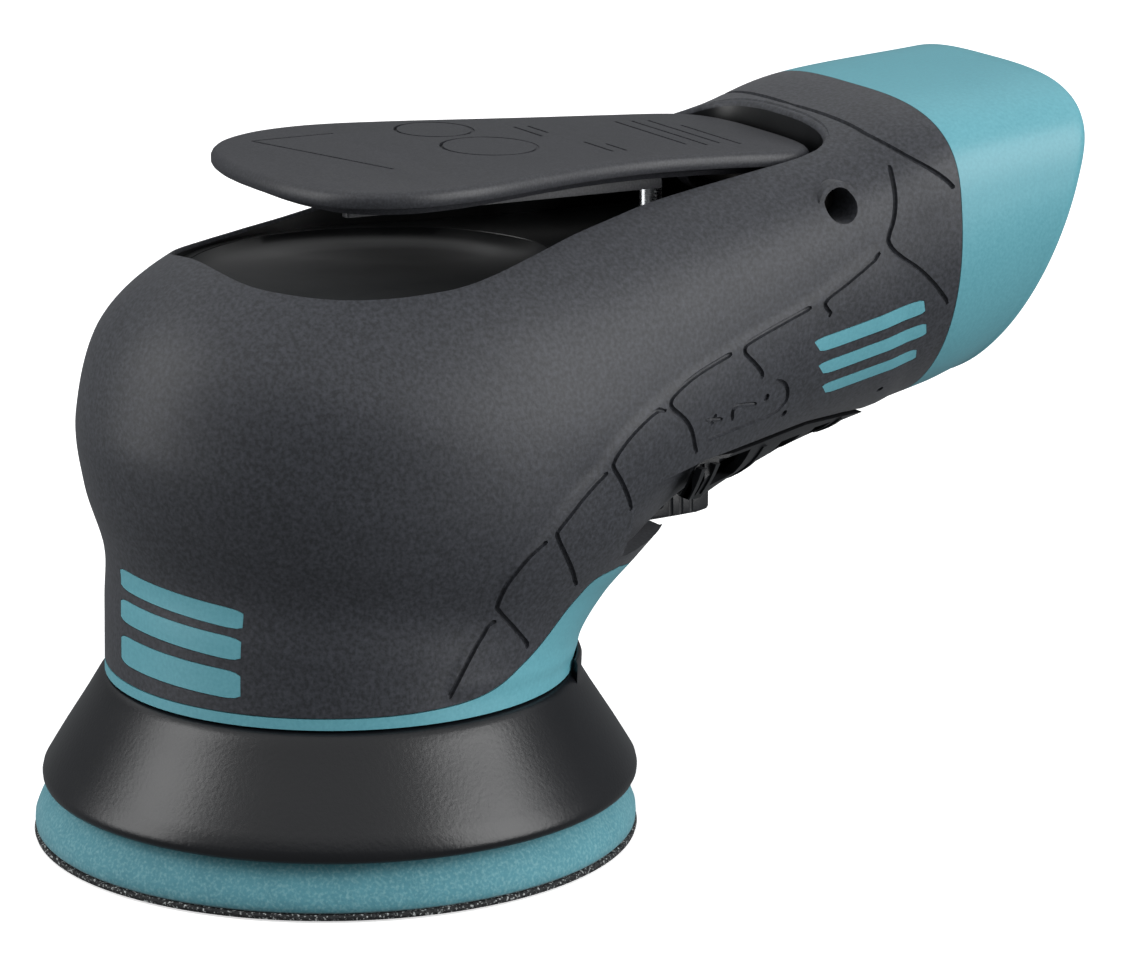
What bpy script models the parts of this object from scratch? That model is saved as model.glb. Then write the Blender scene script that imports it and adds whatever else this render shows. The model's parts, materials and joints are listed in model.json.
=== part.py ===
"""Palm orbital sander, 76 mm pad: a vane air motor in a two-colour handle.

Metres, +Z up.  The origin lies on the motor's axis in the plane of the pad's
working face, and the handle runs along +Y.
"""
import math

import bmesh
import bpy
from mathutils import Vector

# Driving dimensions
GAP = 0.0003
PAD_RADIUS = 0.038
PAD_CENTRE = (-0.0012, 0.0)          # half of the 2.4 mm orbit diameter
BORE_RADIUS = 0.0245
GRIP_WALL = 0.0020
VALVE_Z = 0.0605                     # height of the air passage
VALVE_RADIUS = 0.0055
PLUNGER_Y = 0.0458
PIVOT = (0.0, 0.0595, 0.0773)        # lever pivot, its axis is X
LEVER_TOP = (0.08543, 0.0048, -0.81)  # height, slope and bend of the lever's top along y
LEVER_THICKNESS = 0.0035
REGULATOR = (0.0, 0.0385)
REGULATOR_BORE = 0.0035
ROTOR_RADIUS = 0.0172
ROTOR_BOTTOM = 0.0464
ROTOR_TOP = 0.0578
VANES = 5
AROUND = 32                          # points round the body's sections
ALONG = 25                           # sections along the body

# The body's sections fan from level, under the head, to nearly upright at the
# back.  Each row: inner y, inner z, outer y, outer z, share of the height
# below the widest place, half width, power of the upper and of the lower half.
BODY_SECTIONS = (
    (0.0293, 0.0216, -0.0293, 0.0216, 0.50, 0.0293, 2.0, 2.0),
    (0.0303, 0.0255, -0.0292, 0.0310, 0.50, 0.0292, 2.0, 2.0),
    (0.0340, 0.0300, -0.0293, 0.0380, 0.49, 0.0295, 2.0, 2.0),
    (0.0380, 0.0335, -0.0318, 0.0465, 0.48, 0.0314, 2.0, 2.0),
    (0.0418, 0.0363, -0.0326, 0.0560, 0.48, 0.0326, 2.0, 2.0),
    (0.0465, 0.0386, -0.0287, 0.0675, 0.50, 0.0328, 2.0, 2.0),
    (0.0520, 0.0406, -0.0185, 0.0753, 0.52, 0.0320, 1.9, 2.0),
    (0.0580, 0.0422, 0.0000, 0.0792, 0.55, 0.0298, 2.2, 2.0),
    (0.0645, 0.0436, 0.0220, 0.0810, 0.58, 0.0269, 2.3, 2.0),
    (0.0715, 0.0448, 0.0440, 0.0824, 0.62, 0.0250, 2.5, 2.0),
    (0.0785, 0.0460, 0.0620, 0.0845, 0.66, 0.0243, 2.9, 2.0),
    (0.0835, 0.0470, 0.0760, 0.0875, 0.68, 0.0242, 3.2, 2.0),
    (0.0873, 0.0479, 0.0980, 0.0890, 0.70, 0.0234, 3.2, 1.9),
)
REAR_ROUNDING = ((0.0010, 0.0005), (0.0018, 0.0016), (0.0022, 0.0032))

# Outlines seen from the side, as (y, z)
GRIP_SIDE = (
    (-0.060, 0.0231), (-0.005, 0.0233), (0.004, 0.0242), (0.010, 0.0267),
    (0.014, 0.0292), (0.018, 0.0330), (0.021, 0.0356), (0.026, 0.0360),
    (0.045, 0.0310), (0.0800, 0.0310), (0.0755, 0.0950), (-0.060, 0.0950),
)
CHANNEL_SIDE = (
    (0.0255, 0.0375), (0.0255, 0.0460), (0.0300, 0.0472), (0.0380, 0.0482),
    (0.0580, 0.0487), (0.0660, 0.0480), (0.0720, 0.0471), (0.0740, 0.0450),
    (0.0740, 0.0375),
)
COVER_SIDE = (
    (0.0372, 0.0424), (0.0372, 0.0474), (0.0380, 0.0477), (0.0490, 0.0478),
    (0.0580, 0.0482), (0.0655, 0.0475), (0.0714, 0.0466), (0.0733, 0.0446), (0.0733, 0.0379),
    (0.0455, 0.0379), (0.0411, 0.0424),
)
COVER_DROP = (0.0, 0.0002, -0.0011)   # the cover stands proud of the handle's underside

# Half outlines seen from above, as (x, y), front to back
SLOT_HALF = (
    (0.0000, -0.0187), (0.0058, -0.0184), (0.0106, -0.0170), (0.0147, -0.0139),
    (0.0182, -0.0096), (0.0208, -0.0042), (0.0222, 0.0010), (0.0227, 0.0053),
    (0.0223, 0.0100), (0.0209, 0.0158), (0.0189, 0.0226), (0.0175, 0.0290),
    (0.0162, 0.0350), (0.0154, 0.0420), (0.0151, 0.0500), (0.0152, 0.0585),
    (0.0141, 0.0623), (0.0112, 0.0642), (0.0058, 0.0651), (0.0000, 0.0653),
)
LEVER_HALF = (
    (0.0040, -0.0116), (0.0088, -0.0110), (0.0148, -0.0092), (0.0190, -0.0057),
    (0.0215, -0.0006), (0.0221, 0.0052), (0.0214, 0.0110), (0.0193, 0.0190),
    (0.0170, 0.0280), (0.0154, 0.0370), (0.0147, 0.0470), (0.0146, 0.0560),
    (0.0136, 0.0600), (0.0110, 0.0625), (0.0060, 0.0638),
)
TRAY_FLOOR = ((-0.025, 0.0692), (0.025, 0.0692), (0.040, 0.0718), (0.075, 0.0718))
TRAY_WALL = 0.0016
COVER_WINDOWS = ((0.0442, 0.0436, 0.0470), (0.0566, 0.0440, 0.0466))   # y, low z, high z
COVER_SCREW_Y = 0.0690


def clear_scene():
    for scene_object in list(bpy.data.objects):
        bpy.data.objects.remove(scene_object, do_unlink=True)


def material(name, colour, roughness, metallic=0.0):
    result = bpy.data.materials.new(name)
    result.use_nodes = True
    shader = result.node_tree.nodes["Principled BSDF"]
    shader.inputs["Base Color"].default_value = (*colour, 1.0)
    shader.inputs["Roughness"].default_value = roughness
    shader.inputs["Metallic"].default_value = metallic
    result.diffuse_color = (*colour, 1.0)
    return result


def finish(name, mesh_data, look, location=(0.0, 0.0, 0.0), parent=None):
    """Turn a bmesh into a named object with its faces pointing out."""
    bmesh.ops.recalc_face_normals(mesh_data, faces=mesh_data.faces[:])
    mesh = bpy.data.meshes.new(name)
    mesh_data.to_mesh(mesh)
    mesh_data.free()
    mesh.shade_smooth()
    mesh.set_sharp_from_angle(angle=math.radians(35))
    result = bpy.data.objects.new(name, mesh)
    bpy.context.collection.objects.link(result)
    result.location = location
    result.parent = parent
    if look is None:
        result.hide_render = True
        result.display_type = "WIRE"
    else:
        mesh.materials.append(look)
    return result


def axis_empty(name, location):
    result = bpy.data.objects.new(name, None)
    bpy.context.collection.objects.link(result)
    result.location = location
    result.empty_display_size = 0.01
    return result


def boolean(target, tool, operation):
    modifier = target.modifiers.new(f"{operation.lower()} {tool.name}", "BOOLEAN")
    modifier.operation = operation
    modifier.solver = "EXACT"
    modifier.object = tool


def cut(target, tool):
    boolean(target, tool, "DIFFERENCE")


def join(target, tool):
    boolean(target, tool, "UNION")


def keep_inside(target, tool):
    boolean(target, tool, "INTERSECT")


def turned(profile, steps=18):
    """Spin (radius, z) points about Z; a radius of 0 closes an end."""
    data = bmesh.new()
    rings = []
    for radius, z in profile:
        if radius == 0.0:
            rings.append([data.verts.new((0.0, 0.0, z))])
            continue
        ring = []
        for step in range(steps):
            angle = 2.0 * math.pi * step / steps
            ring.append(data.verts.new((radius * math.cos(angle), radius * math.sin(angle), z)))
        rings.append(ring)
    open_profile = profile[0][0] == 0.0
    pairs = list(zip(rings, rings[1:]))
    if not open_profile:
        pairs.append((rings[-1], rings[0]))
    for first, second in pairs:
        for step in range(steps):
            after = (step + 1) % steps
            corners = []
            for ring, index in ((first, step), (first, after), (second, after), (second, step)):
                vertex = ring[index] if len(ring) > 1 else ring[0]
                if vertex not in corners:
                    corners.append(vertex)
            if len(corners) > 2:
                data.faces.new(corners)
    return data


def ring_profile(inner, outer, bottom, top, chamfer=0.0):
    """Section of a plain ring, with its outer corners taken off."""
    return (
        (inner, bottom), (outer - chamfer, bottom), (outer, bottom + chamfer),
        (outer, top - chamfer), (outer - chamfer, top), (inner, top),
    ) if chamfer else ((inner, bottom), (outer, bottom), (outer, top), (inner, top))


def rod_profile(radius, bottom, top, chamfer=0.0):
    if not chamfer:
        return ((0.0, bottom), (radius, bottom), (radius, top), (0.0, top))
    return (
        (0.0, bottom), (radius - chamfer, bottom), (radius, bottom + chamfer),
        (radius, top - chamfer), (radius - chamfer, top), (0.0, top),
    )


def prism(outline, low, high, axis="Z"):
    """Extrude an outline along Z, given as (x, y), or along X, as (y, z)."""
    data = bmesh.new()
    corners = []
    for first, second in outline:
        point = (first, second, low) if axis == "Z" else (low, first, second)
        corners.append(data.verts.new(point))
    base = data.faces.new(corners)
    raised = bmesh.ops.extrude_face_region(data, geom=[base])
    offset = Vector((0.0, 0.0, high - low)) if axis == "Z" else Vector((high - low, 0.0, 0.0))
    moved = [item for item in raised["geom"] if isinstance(item, bmesh.types.BMVert)]
    bmesh.ops.translate(data, verts=moved, vec=offset)
    return data


def box(size, centre):
    data = bmesh.new()
    bmesh.ops.create_cube(data, size=1.0)
    bmesh.ops.scale(data, verts=data.verts, vec=size)
    bmesh.ops.translate(data, verts=data.verts, vec=centre)
    return data


def lay_along(data, axis):
    """Turn a bmesh made along Z so that it runs along X or along Y."""
    swap = {"X": lambda v: (v.z, v.x, v.y), "Y": lambda v: (v.x, v.z, -v.y)}[axis]
    for vertex in data.verts:
        vertex.co = swap(vertex.co)
    return data


def mirrored(half):
    """Close a half outline, whose ends lie on x = 0, across the Y axis."""
    left = [(-x, y) for x, y in reversed(half[1:-1])]
    return list(half) + left


def widened(outline, distance):
    """Move each corner of a counter-clockwise outline out by a distance."""
    count = len(outline)
    result = []
    for index, (x, y) in enumerate(outline):
        back_x, back_y = outline[index - 1]
        next_x, next_y = outline[(index + 1) % count]
        normal = Vector((next_y - back_y, back_x - next_x)).normalized()
        result.append((x + normal.x * distance, y + normal.y * distance))
    return result


def section_at(place):
    """Read the section table at a fractional row, on a Catmull-Rom curve."""
    last = len(BODY_SECTIONS) - 1
    index = min(int(place), last - 1)
    part = place - index
    rows = [BODY_SECTIONS[min(max(index + step, 0), last)] for step in (-1, 0, 1, 2)]
    result = []
    for before, start, end, after in zip(*rows):
        if index == 0:
            before = 2.0 * start - end
        if index == last - 1:
            after = 2.0 * end - start
        linear = (end - before) * part
        square = (2.0 * before - 5.0 * start + 4.0 * end - after) * part ** 2
        cube = (3.0 * start - before - 3.0 * end + after) * part ** 3
        result.append(0.5 * (2.0 * start + linear + square + cube))
    return result


def section_points(section, inset):
    """Points of one section ring, drawn in by an inset."""
    inner_y, inner_z, outer_y, outer_z, share, width, upper, lower = section
    inner = Vector((0.0, inner_y, inner_z))
    rise = Vector((0.0, outer_y, outer_z)) - inner
    direction = rise.normalized()
    centre = inner + rise * share
    above = rise.length * (1.0 - share) - inset
    below = rise.length * share - inset
    points = []
    for step in range(AROUND):
        angle = 2.0 * math.pi * (step + 0.5) / AROUND
        cosine = math.cos(angle)
        sine = math.sin(angle)
        power = upper if sine >= 0.0 else lower
        reach = above if sine >= 0.0 else below
        side = math.copysign(abs(cosine) ** (2.0 / power), cosine) * (width - inset)
        height = math.copysign(abs(sine) ** (2.0 / power), sine) * reach
        points.append(centre + direction * height + Vector((side, 0.0, 0.0)))
    return points


def body_solid(inset=0.0, start=0.0, end=12.0, rounded=False):
    """Closed solid through the body's sections, drawn in by an inset."""
    rings = []
    for step in range(ALONG):
        place = start + (end - start) * step / (ALONG - 1)
        rings.append(section_points(section_at(place), inset))
    if rounded:
        section = section_at(end)
        face = Vector((0.0, section[3] - section[1], section[0] - section[2])).normalized()
        for forward, shrink in REAR_ROUNDING:
            ring = section_points(section, inset + shrink)
            rings.append([point + face * forward for point in ring])
    data = bmesh.new()
    loops = [[data.verts.new(point) for point in ring] for ring in rings]
    for first, second in zip(loops, loops[1:]):
        for step in range(AROUND):
            after = (step + 1) % AROUND
            data.faces.new((first[step], first[after], second[after], second[step]))
    data.faces.new(loops[0])
    data.faces.new(loops[-1])
    return data


def tray_solid(spread, drop):
    """The lever's pocket: the slot outline, down to the stepped floor."""
    outline = widened(mirrored(SLOT_HALF), spread)
    pocket = finish(f"pocket {spread:.4f}", prism(outline, 0.05, 0.10), None)
    side = [(y, z - drop) for y, z in TRAY_FLOOR] + [(0.075, 0.11), (-0.025, 0.11)]
    above_floor = finish(f"floor {spread:.4f}", prism(side, -0.05, 0.05, "X"), None)
    keep_inside(pocket, above_floor)
    return pocket


def side_holes():
    """Bore for the lever's pin, through the body from side to side."""
    x, y, z = PIVOT
    bore = lay_along(turned(rod_profile(0.0022, -0.04, 0.04), 16), "X")
    return finish("pin bore", bore, None, (x, y, z))


def build_housing(look):
    """Teal body: a core inside the grip, with a full ring at both ends."""
    core = finish("housing", body_solid(GRIP_WALL + GAP, 0.15, 11.7), look)
    ends = finish("housing ends", body_solid(0.0, rounded=True), None)
    side = widened(GRIP_SIDE, GAP)
    grip_room = finish("grip room", prism(side, -0.05, 0.05, "X"), None)
    cut(ends, grip_room)
    join(core, ends)
    bore = turned(rod_profile(BORE_RADIUS, 0.010, 0.0660), 40)
    cut(core, finish("motor bore", bore, None))
    cut(core, tray_solid(TRAY_WALL + GAP, TRAY_WALL + GAP))
    chamber = lay_along(turned((
        (0.0, 0.0430), (VALVE_RADIUS, 0.0430), (VALVE_RADIUS, 0.0700),
        (0.0085, 0.0710), (0.0085, 0.1100), (0.0, 0.1100)), 24), "Y")
    cut(core, finish("valve chamber", chamber, None, (0.0, 0.0, VALVE_Z)))
    guide = turned(rod_profile(0.0033, 0.0617, 0.0760), 15)
    cut(core, finish("plunger bore", guide, None, (0.0, PLUNGER_Y, 0.0)))
    passage = lay_along(turned(rod_profile(0.0028, 0.0200, 0.0440), 16), "Y")
    cut(core, finish("air passage", passage, None, (0.0, 0.0, VALVE_Z)))
    spool = turned((
        (0.0, 0.0200), (0.0078, 0.0200), (0.0078, 0.0392), (REGULATOR_BORE, 0.0392),
        (REGULATOR_BORE, 0.0655), (0.0, 0.0655)), 20)
    cut(core, finish("regulator bore", spool, None, (*REGULATOR, 0.0)))
    exhaust = box((0.0160, 0.0160, 0.0200), (0.0, 0.0595, 0.0415))
    cut(core, finish("exhaust room", exhaust, None))
    thread = turned(rod_profile(0.0014, 0.0400, 0.0524), 16)
    cut(core, finish("cover screw bore", thread, None, (0.0, COVER_SCREW_Y, 0.0)))
    outlet = prism(((0.020, 0.0445), (0.0590, 0.0455), (0.0590, 0.0510), (0.020, 0.0500)),
                   0.0055, 0.0110, "X")
    cut(core, finish("exhaust duct", outlet, None))
    cut(core, side_holes())
    return core


def build_grip(look):
    """Black soft grip: a skin round the handle that also lines the pocket."""
    skin = finish("grip_overmold", body_solid(0.0, end=11.9), look)
    region = finish("grip region", prism(GRIP_SIDE, -0.05, 0.05, "X"), None)
    keep_inside(skin, region)
    cut(skin, finish("grip inside", body_solid(GRIP_WALL, 0.15, 12.0), None))
    cut(skin, finish("grip channel", prism(CHANNEL_SIDE, -0.05, 0.05, "X"), None))
    notch = turned(rod_profile(0.0080, 0.0200, 0.0410), 20)
    cut(skin, finish("regulator notch", notch, None, (*REGULATOR, 0.0)))
    liner = tray_solid(TRAY_WALL, TRAY_WALL)
    keep_inside(liner, finish("liner bounds", body_solid(0.0, end=11.9), None))
    join(skin, liner)
    cut(skin, tray_solid(0.0, 0.0))
    cut(skin, side_holes())
    guide = turned(rod_profile(0.0018, 0.0640, 0.0760), 16)
    cut(skin, finish("plunger hole", guide, None, (0.0, PLUNGER_Y, 0.0)))
    return skin


def build_exhaust_cover(look):
    """Ribbed cover between the grip's skirts, under the handle."""
    shell, hollow = body_solid(0.0003, 3.0, 11.9), body_solid(0.0017, 2.7, 12.0)
    for solid in (shell, hollow):
        bmesh.ops.translate(solid, verts=solid.verts, vec=COVER_DROP)
    cover = finish("exhaust_cover", shell, look)
    keep_inside(cover, finish("cover region", prism(COVER_SIDE, -0.0235, 0.0235, "X"), None))
    cut(cover, finish("cover inside", hollow, None))
    for y, low, high in COVER_WINDOWS:
        window = box((0.060, 0.0042, high - low), (0.0, y, (low + high) / 2.0))
        cut(cover, finish(f"cover window {y:.4f}", window, None))
    room = box((0.0172, 0.0252, 0.0140), (0.0, 0.0426, 0.0370))
    cut(cover, finish("regulator room", room, None))
    hole = turned(rod_profile(0.0021, 0.0400, 0.0500), 16)
    cut(cover, finish("cover screw hole", hole, None, (0.0, COVER_SCREW_Y, 0.0)))
    return cover


def build_muffler(felt, metal):
    block = box((0.0150, 0.0150, 0.0038), (0.0, 0.0595, 0.0491))
    finish("muffler_felt", block, felt)
    screw = turned((
        (0.0, 0.0441), (0.0014, 0.0441), (0.0018, 0.0446), (0.0018, 0.0458),
        (0.0011, 0.0458), (0.0011, 0.0520), (0.0, 0.0520)), 16)
    finish("cover_screw", screw, metal, (0.0, COVER_SCREW_Y, 0.0))


def build_regulator(plastic, rubber):
    """Speed regulator: a finger tab under the handle turns a ported spool."""
    axis = axis_empty("regulator axis", (*REGULATOR, 0.0))
    knob = turned((
        (0.0, 0.0350), (0.0058, 0.0350), (0.0068, 0.0360), (0.0068, 0.0388),
        (0.0031, 0.0388), (0.0031, 0.0650), (0.0, 0.0650)), 28)
    regulator = finish("speed_regulator", knob, plastic, parent=axis)
    tab = prism(((-0.0045, 0.0), (0.0045, 0.0), (0.0042, 0.0125), (0.0030, 0.0148),
                 (-0.0030, 0.0148), (-0.0042, 0.0125)), 0.0345, 0.0384)
    join(regulator, finish("regulator tab", tab, None, parent=axis))
    port = lay_along(turned(rod_profile(0.0020, -0.010, 0.010), 12), "Y")
    cut(regulator, finish("regulator port", port, None, (0.0, 0.0, VALVE_Z), axis))
    for low in (0.0450, 0.0535):
        groove = turned(ring_profile(0.0022, 0.0040, low, low + 0.0022), 20)
        cut(regulator, finish(f"seal groove {low:.4f}", groove, None, parent=axis))
        seal = turned(ring_profile(0.0025, 0.0031, low + GAP, low + 0.0019), 20)
        finish("regulator_seal_lower" if low < 0.05 else "regulator_seal_upper",
               seal, rubber, parent=axis)
    return regulator


def lever_top(y):
    """Height of the lever's arched top at a place along the handle."""
    height, slope, bend = LEVER_TOP
    return height + slope * y + bend * y ** 2


def build_lever(plastic):
    """Throttle lever: a broad plate with two ears that hang on the pin."""
    _, y, z = PIVOT
    axis = axis_empty("lever axis", PIVOT)
    data = bmesh.new()
    loops = []
    for half, place in LEVER_HALF:
        top = lever_top(place) - z
        corners = ((-half, top), (half, top), (half, top - LEVER_THICKNESS),
                   (-half, top - LEVER_THICKNESS))
        loops.append([data.verts.new((x, place - y, level)) for x, level in corners])
    for first, second in zip(loops, loops[1:]):
        for step in range(4):
            after = (step + 1) % 4
            data.faces.new((first[step], first[after], second[after], second[step]))
    data.faces.new(loops[0])
    data.faces.new(loops[-1])
    lever = finish("throttle_lever", data, plastic, parent=axis)
    under = lever_top(y) - LEVER_THICKNESS - z
    ear = [(0.0036 * math.cos(math.radians(turn)), 0.0036 * math.sin(math.radians(turn)))
           for turn in range(-180, 1, 20)]
    ear += [(0.0036, under + 0.0010), (-0.0062, under + 0.0012)]
    for side in (-1.0, 1.0):
        low = min(side * 0.0078, side * 0.0108)
        name = "left ear" if side < 0.0 else "right ear"
        join(lever, finish(name, prism(ear, low, low + 0.0030, "X"), None, parent=axis))
    push_level = lever_top(PLUNGER_Y) - LEVER_THICKNESS - z - 0.0001
    push = box((0.0090, 0.0060, 0.0022), (0.0, PLUNGER_Y - y, push_level))
    join(lever, finish("push pad", push, None, parent=axis))
    bore = lay_along(turned(rod_profile(0.0022, -0.03, 0.03), 16), "X")
    cut(lever, finish("ear bore", bore, None, parent=axis))
    return lever


def build_lever_pin(metal):
    pin = lay_along(turned(rod_profile(0.0019, -0.0185, 0.0185, 0.0004), 16), "X")
    finish("lever_pin", pin, metal, PIVOT)


def build_valve(metal, brass, rubber, dark):
    """Throttle valve: the plunger tips a stem off its seat."""
    plunger = turned(rod_profile(0.00145, 0.0628, 0.0789, 0.0003), 16)
    finish("plunger", plunger, metal, (0.0, PLUNGER_Y, 0.0))
    bush = turned(ring_profile(0.0018, 0.0030, 0.0666, 0.0695), 16)
    finish("plunger_bushing", bush, brass, (0.0, PLUNGER_Y, 0.0))
    seal = turned(ring_profile(0.0018, 0.0028, 0.0650, 0.0662), 16)
    finish("plunger_seal", seal, rubber, (0.0, PLUNGER_Y, 0.0))
    seat = lay_along(turned(ring_profile(0.0030, 0.0052, 0.0520, 0.0545), 24), "Y")
    finish("valve_seat", seat, rubber, (0.0, 0.0, VALVE_Z))
    tip_axis = axis_empty("tip valve axis", (0.0, 0.0560, VALVE_Z))
    poppet = lay_along(turned((
        (0.0, -0.0125), (0.0010, -0.0125), (0.0010, -0.0010), (0.0044, -0.0010),
        (0.0044, 0.0008), (0.0022, 0.0016), (0.0022, 0.0032), (0.0, 0.0032)), 20), "Y")
    finish("tip_valve", poppet, brass, parent=tip_axis)
    spring = lay_along(turned(ring_profile(0.0026, 0.0040, 0.0580, 0.0640), 20), "Y")
    finish("valve_spring", spring, metal, (0.0, 0.0, VALVE_Z))
    screen = lay_along(turned((
        (0.0, 0.0712), (0.0062, 0.0712), (0.0062, 0.0800), (0.0050, 0.0800),
        (0.0050, 0.0724), (0.0, 0.0724)), 24), "Y")
    finish("inlet_screen", screen, dark, (0.0, 0.0, VALVE_Z))
    bushing = lay_along(turned((
        (0.0058, 0.0803), (0.0082, 0.0803), (0.0082, 0.0905), (0.0082, 0.0960),
        (0.0058, 0.0960)), 24), "Y")
    finish("inlet_bushing", bushing, metal, (0.0, 0.0, VALVE_Z))


def build_bearing(name, radii, low, high, look, parent=None):
    """Races and ball cage from pairs of radii, one node each."""
    for part, (inner, outer) in radii.items():
        ring = turned(ring_profile(inner, outer, low, high))
        finish(f"{name}_{part}", ring, look, parent=parent)


def build_motor(aluminium, steel, rubber):
    """Stator: lock ring, end plates, eccentric cylinder and their bearings."""
    finish("lock_ring", turned(ring_profile(0.0150, 0.0242, 0.0358, 0.0405, 0.0005), 32), aluminium)
    finish("lock_ring_seal", turned(ring_profile(0.0200, 0.0238, 0.0340, 0.0355), 32), rubber)
    lower_plate = turned((
        (0.0114, 0.0408), (0.0242, 0.0408), (0.0242, 0.0460), (0.0066, 0.0460),
        (0.0066, 0.0450), (0.0114, 0.0450)), 32)
    finish("end_plate_lower", lower_plate, aluminium)
    upper_plate = turned((
        (0.0066, 0.0582), (0.0242, 0.0582), (0.0242, 0.0628), (0.0114, 0.0628),
        (0.0114, 0.0590), (0.0066, 0.0590)), 32)
    upper = finish("end_plate_upper", upper_plate, aluminium)
    inlet = box((0.0080, 0.0120, 0.0026), (0.0, 0.0200, VALVE_Z))
    cut(upper, finish("inlet port", inlet, None))
    cylinder = finish("motor_cylinder", turned(rod_profile(0.0242, 0.0463, 0.0579), 32), steel)
    bore = turned(rod_profile(0.0195, 0.0400, 0.0650), 32)
    cut(cylinder, finish("cylinder bore", bore, None, (0.0, 0.0020, 0.0)))
    slot = box((0.0080, 0.0060, 0.0050), (0.0, 0.0235, 0.0500))
    cut(cylinder, finish("exhaust port", slot, None))
    cut(cylinder, finish("dowel hole", turned(rod_profile(0.0013, 0.0440, 0.0600), 12), None,
                         (0.0, -0.0212, 0.0)))
    finish("cylinder_dowel", turned(rod_profile(0.0010, 0.0465, 0.0577), 12), steel,
           (0.0, -0.0212, 0.0))
    radii = {"outer_race": (0.0092, 0.0110), "cage": (0.0073, 0.0089),
             "inner_race": (0.0053, 0.0070)}
    build_bearing("lower_bearing", radii, 0.0388, 0.0447, steel)
    build_bearing("upper_bearing", radii, 0.0593, 0.0635, steel)


def build_rotor(steel, composite):
    """Rotor with its vanes drawn in, keyed to the balancer's shaft."""
    middle = (ROTOR_BOTTOM + ROTOR_TOP) / 2.0
    height = ROTOR_TOP - ROTOR_BOTTOM
    rotor = turned(ring_profile(0.0053, ROTOR_RADIUS, ROTOR_BOTTOM, ROTOR_TOP), 30)
    rotor = finish("rotor", rotor, steel)
    keyway = box((0.0030, 0.0040, 0.05), (0.0, 0.0060, middle))
    cut(rotor, finish("rotor keyway", keyway, None))
    for index in range(VANES):
        turn = math.radians(54 + 72 * index)
        slot = box((0.0200, 0.0020, 0.05), (0.0194, 0.0, middle))
        slot = finish(f"vane slot {index + 1}", slot, None)
        slot.rotation_euler.z = turn
        cut(rotor, slot)
        blade = box((0.0070, 0.0014, height - 2.0 * GAP), (0.0134, 0.0, middle))
        vane = finish(f"vane_{index + 1}", blade, composite)
        vane.rotation_euler.z = turn


def build_shaft(steel, dark):
    """Balanced motor shaft with an offset cup for the pad's spindle."""
    shaft = turned((
        (0.0, 0.0342), (0.0142, 0.0342), (0.0142, 0.0360), (0.0068, 0.0360), (0.0068, 0.0385),
        (0.0050, 0.0385), (0.0050, 0.0655), (0.0, 0.0655)), 28)
    balancer = finish("shaft_balancer", shaft, steel)
    cup = turned(rod_profile(0.0126, 0.0212, 0.0350), 28)
    join(balancer, finish("balancer cup", cup, None, (*PAD_CENTRE, 0.0)))
    weight = prism([(0.0190 * math.cos(math.radians(turn)), 0.0190 * math.sin(math.radians(turn)))
                    for turn in range(-75, 76, 15)], 0.0220, 0.0300)
    join(balancer, finish("counterweight", weight, None))
    pocket = turned(rod_profile(0.0099, 0.0100, 0.0325), 28)
    cut(balancer, finish("spindle pocket", pocket, None, (*PAD_CENTRE, 0.0)))
    keyway = box((0.0030, 0.0022, 0.0100), (0.0, 0.0051, 0.0520))
    cut(balancer, finish("shaft keyway", keyway, None))
    finish("rotor_key", box((0.0024, 0.0030, 0.0090), (0.0, 0.0059, 0.0520)), dark)
    groove = turned(ring_profile(0.0042, 0.0060, 0.0636, 0.0648), 24)
    cut(balancer, finish("circlip groove", groove, None))
    finish("shaft_circlip", turned(ring_profile(0.0045, 0.0062, 0.0639, 0.0645), 24), dark)


def build_spindle(steel, dark):
    """Spindle in its two bearings, on the offset axis."""
    axis = axis_empty("spindle axis", (*PAD_CENTRE, 0.0))
    body = turned((
        (0.0, 0.0240), (0.0043, 0.0240), (0.0043, 0.0153), (0.0086, 0.0153), (0.0086, 0.0188),
        (0.0060, 0.0196), (0.0060, 0.0212), (0.0050, 0.0212), (0.0050, 0.0316), (0.0, 0.0316)), 24)
    finish("spindle", body, steel, parent=axis)
    radii = {"outer_race": (0.0080, 0.0096), "inner_race": (0.0053, 0.0077)}
    build_bearing("spindle_bearing_lower", radii, 0.0216, 0.0259, steel, axis)
    build_bearing("spindle_bearing_upper", radii, 0.0263, 0.0306, steel, axis)
    shield = turned(ring_profile(0.0063, 0.0096, 0.0203, 0.0213), 24)
    finish("spindle_shield", shield, dark, parent=axis)


def build_pad(fabric, foam, plate_look, steel):
    """Backing pad: hook face, foam, stiff plate and threaded stud."""
    axis = axis_empty("pad axis", (*PAD_CENTRE, 0.0))
    finish("pad_face", turned(rod_profile(PAD_RADIUS, 0.0, 0.0008), 44), fabric, parent=axis)
    foam_side = (
        (0.0, 0.0011), (0.0377, 0.0011), (0.0378, 0.0022), (0.0372, 0.0040),
        (0.0362, 0.0056), (0.0350, 0.0070), (0.0335, 0.0083), (0.0320, 0.0088), (0.0, 0.0088))
    finish("pad_foam", turned(foam_side, 44), foam, parent=axis)
    plate = (
        (0.0, 0.0091), (0.0310, 0.0091), (0.0310, 0.0110), (0.0120, 0.0114), (0.0095, 0.0135),
        (0.0, 0.0135))
    finish("pad_backing_plate", turned(plate, 40), plate_look, parent=axis)
    stud = ((0.0, 0.0138), (0.0075, 0.0138), (0.0075, 0.0150), (0.0040, 0.0150),
            (0.0040, 0.0226), (0.0034, 0.0232), (0.0, 0.0232))
    finish("pad_stud", turned(stud, 24), steel, parent=axis)


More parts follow.
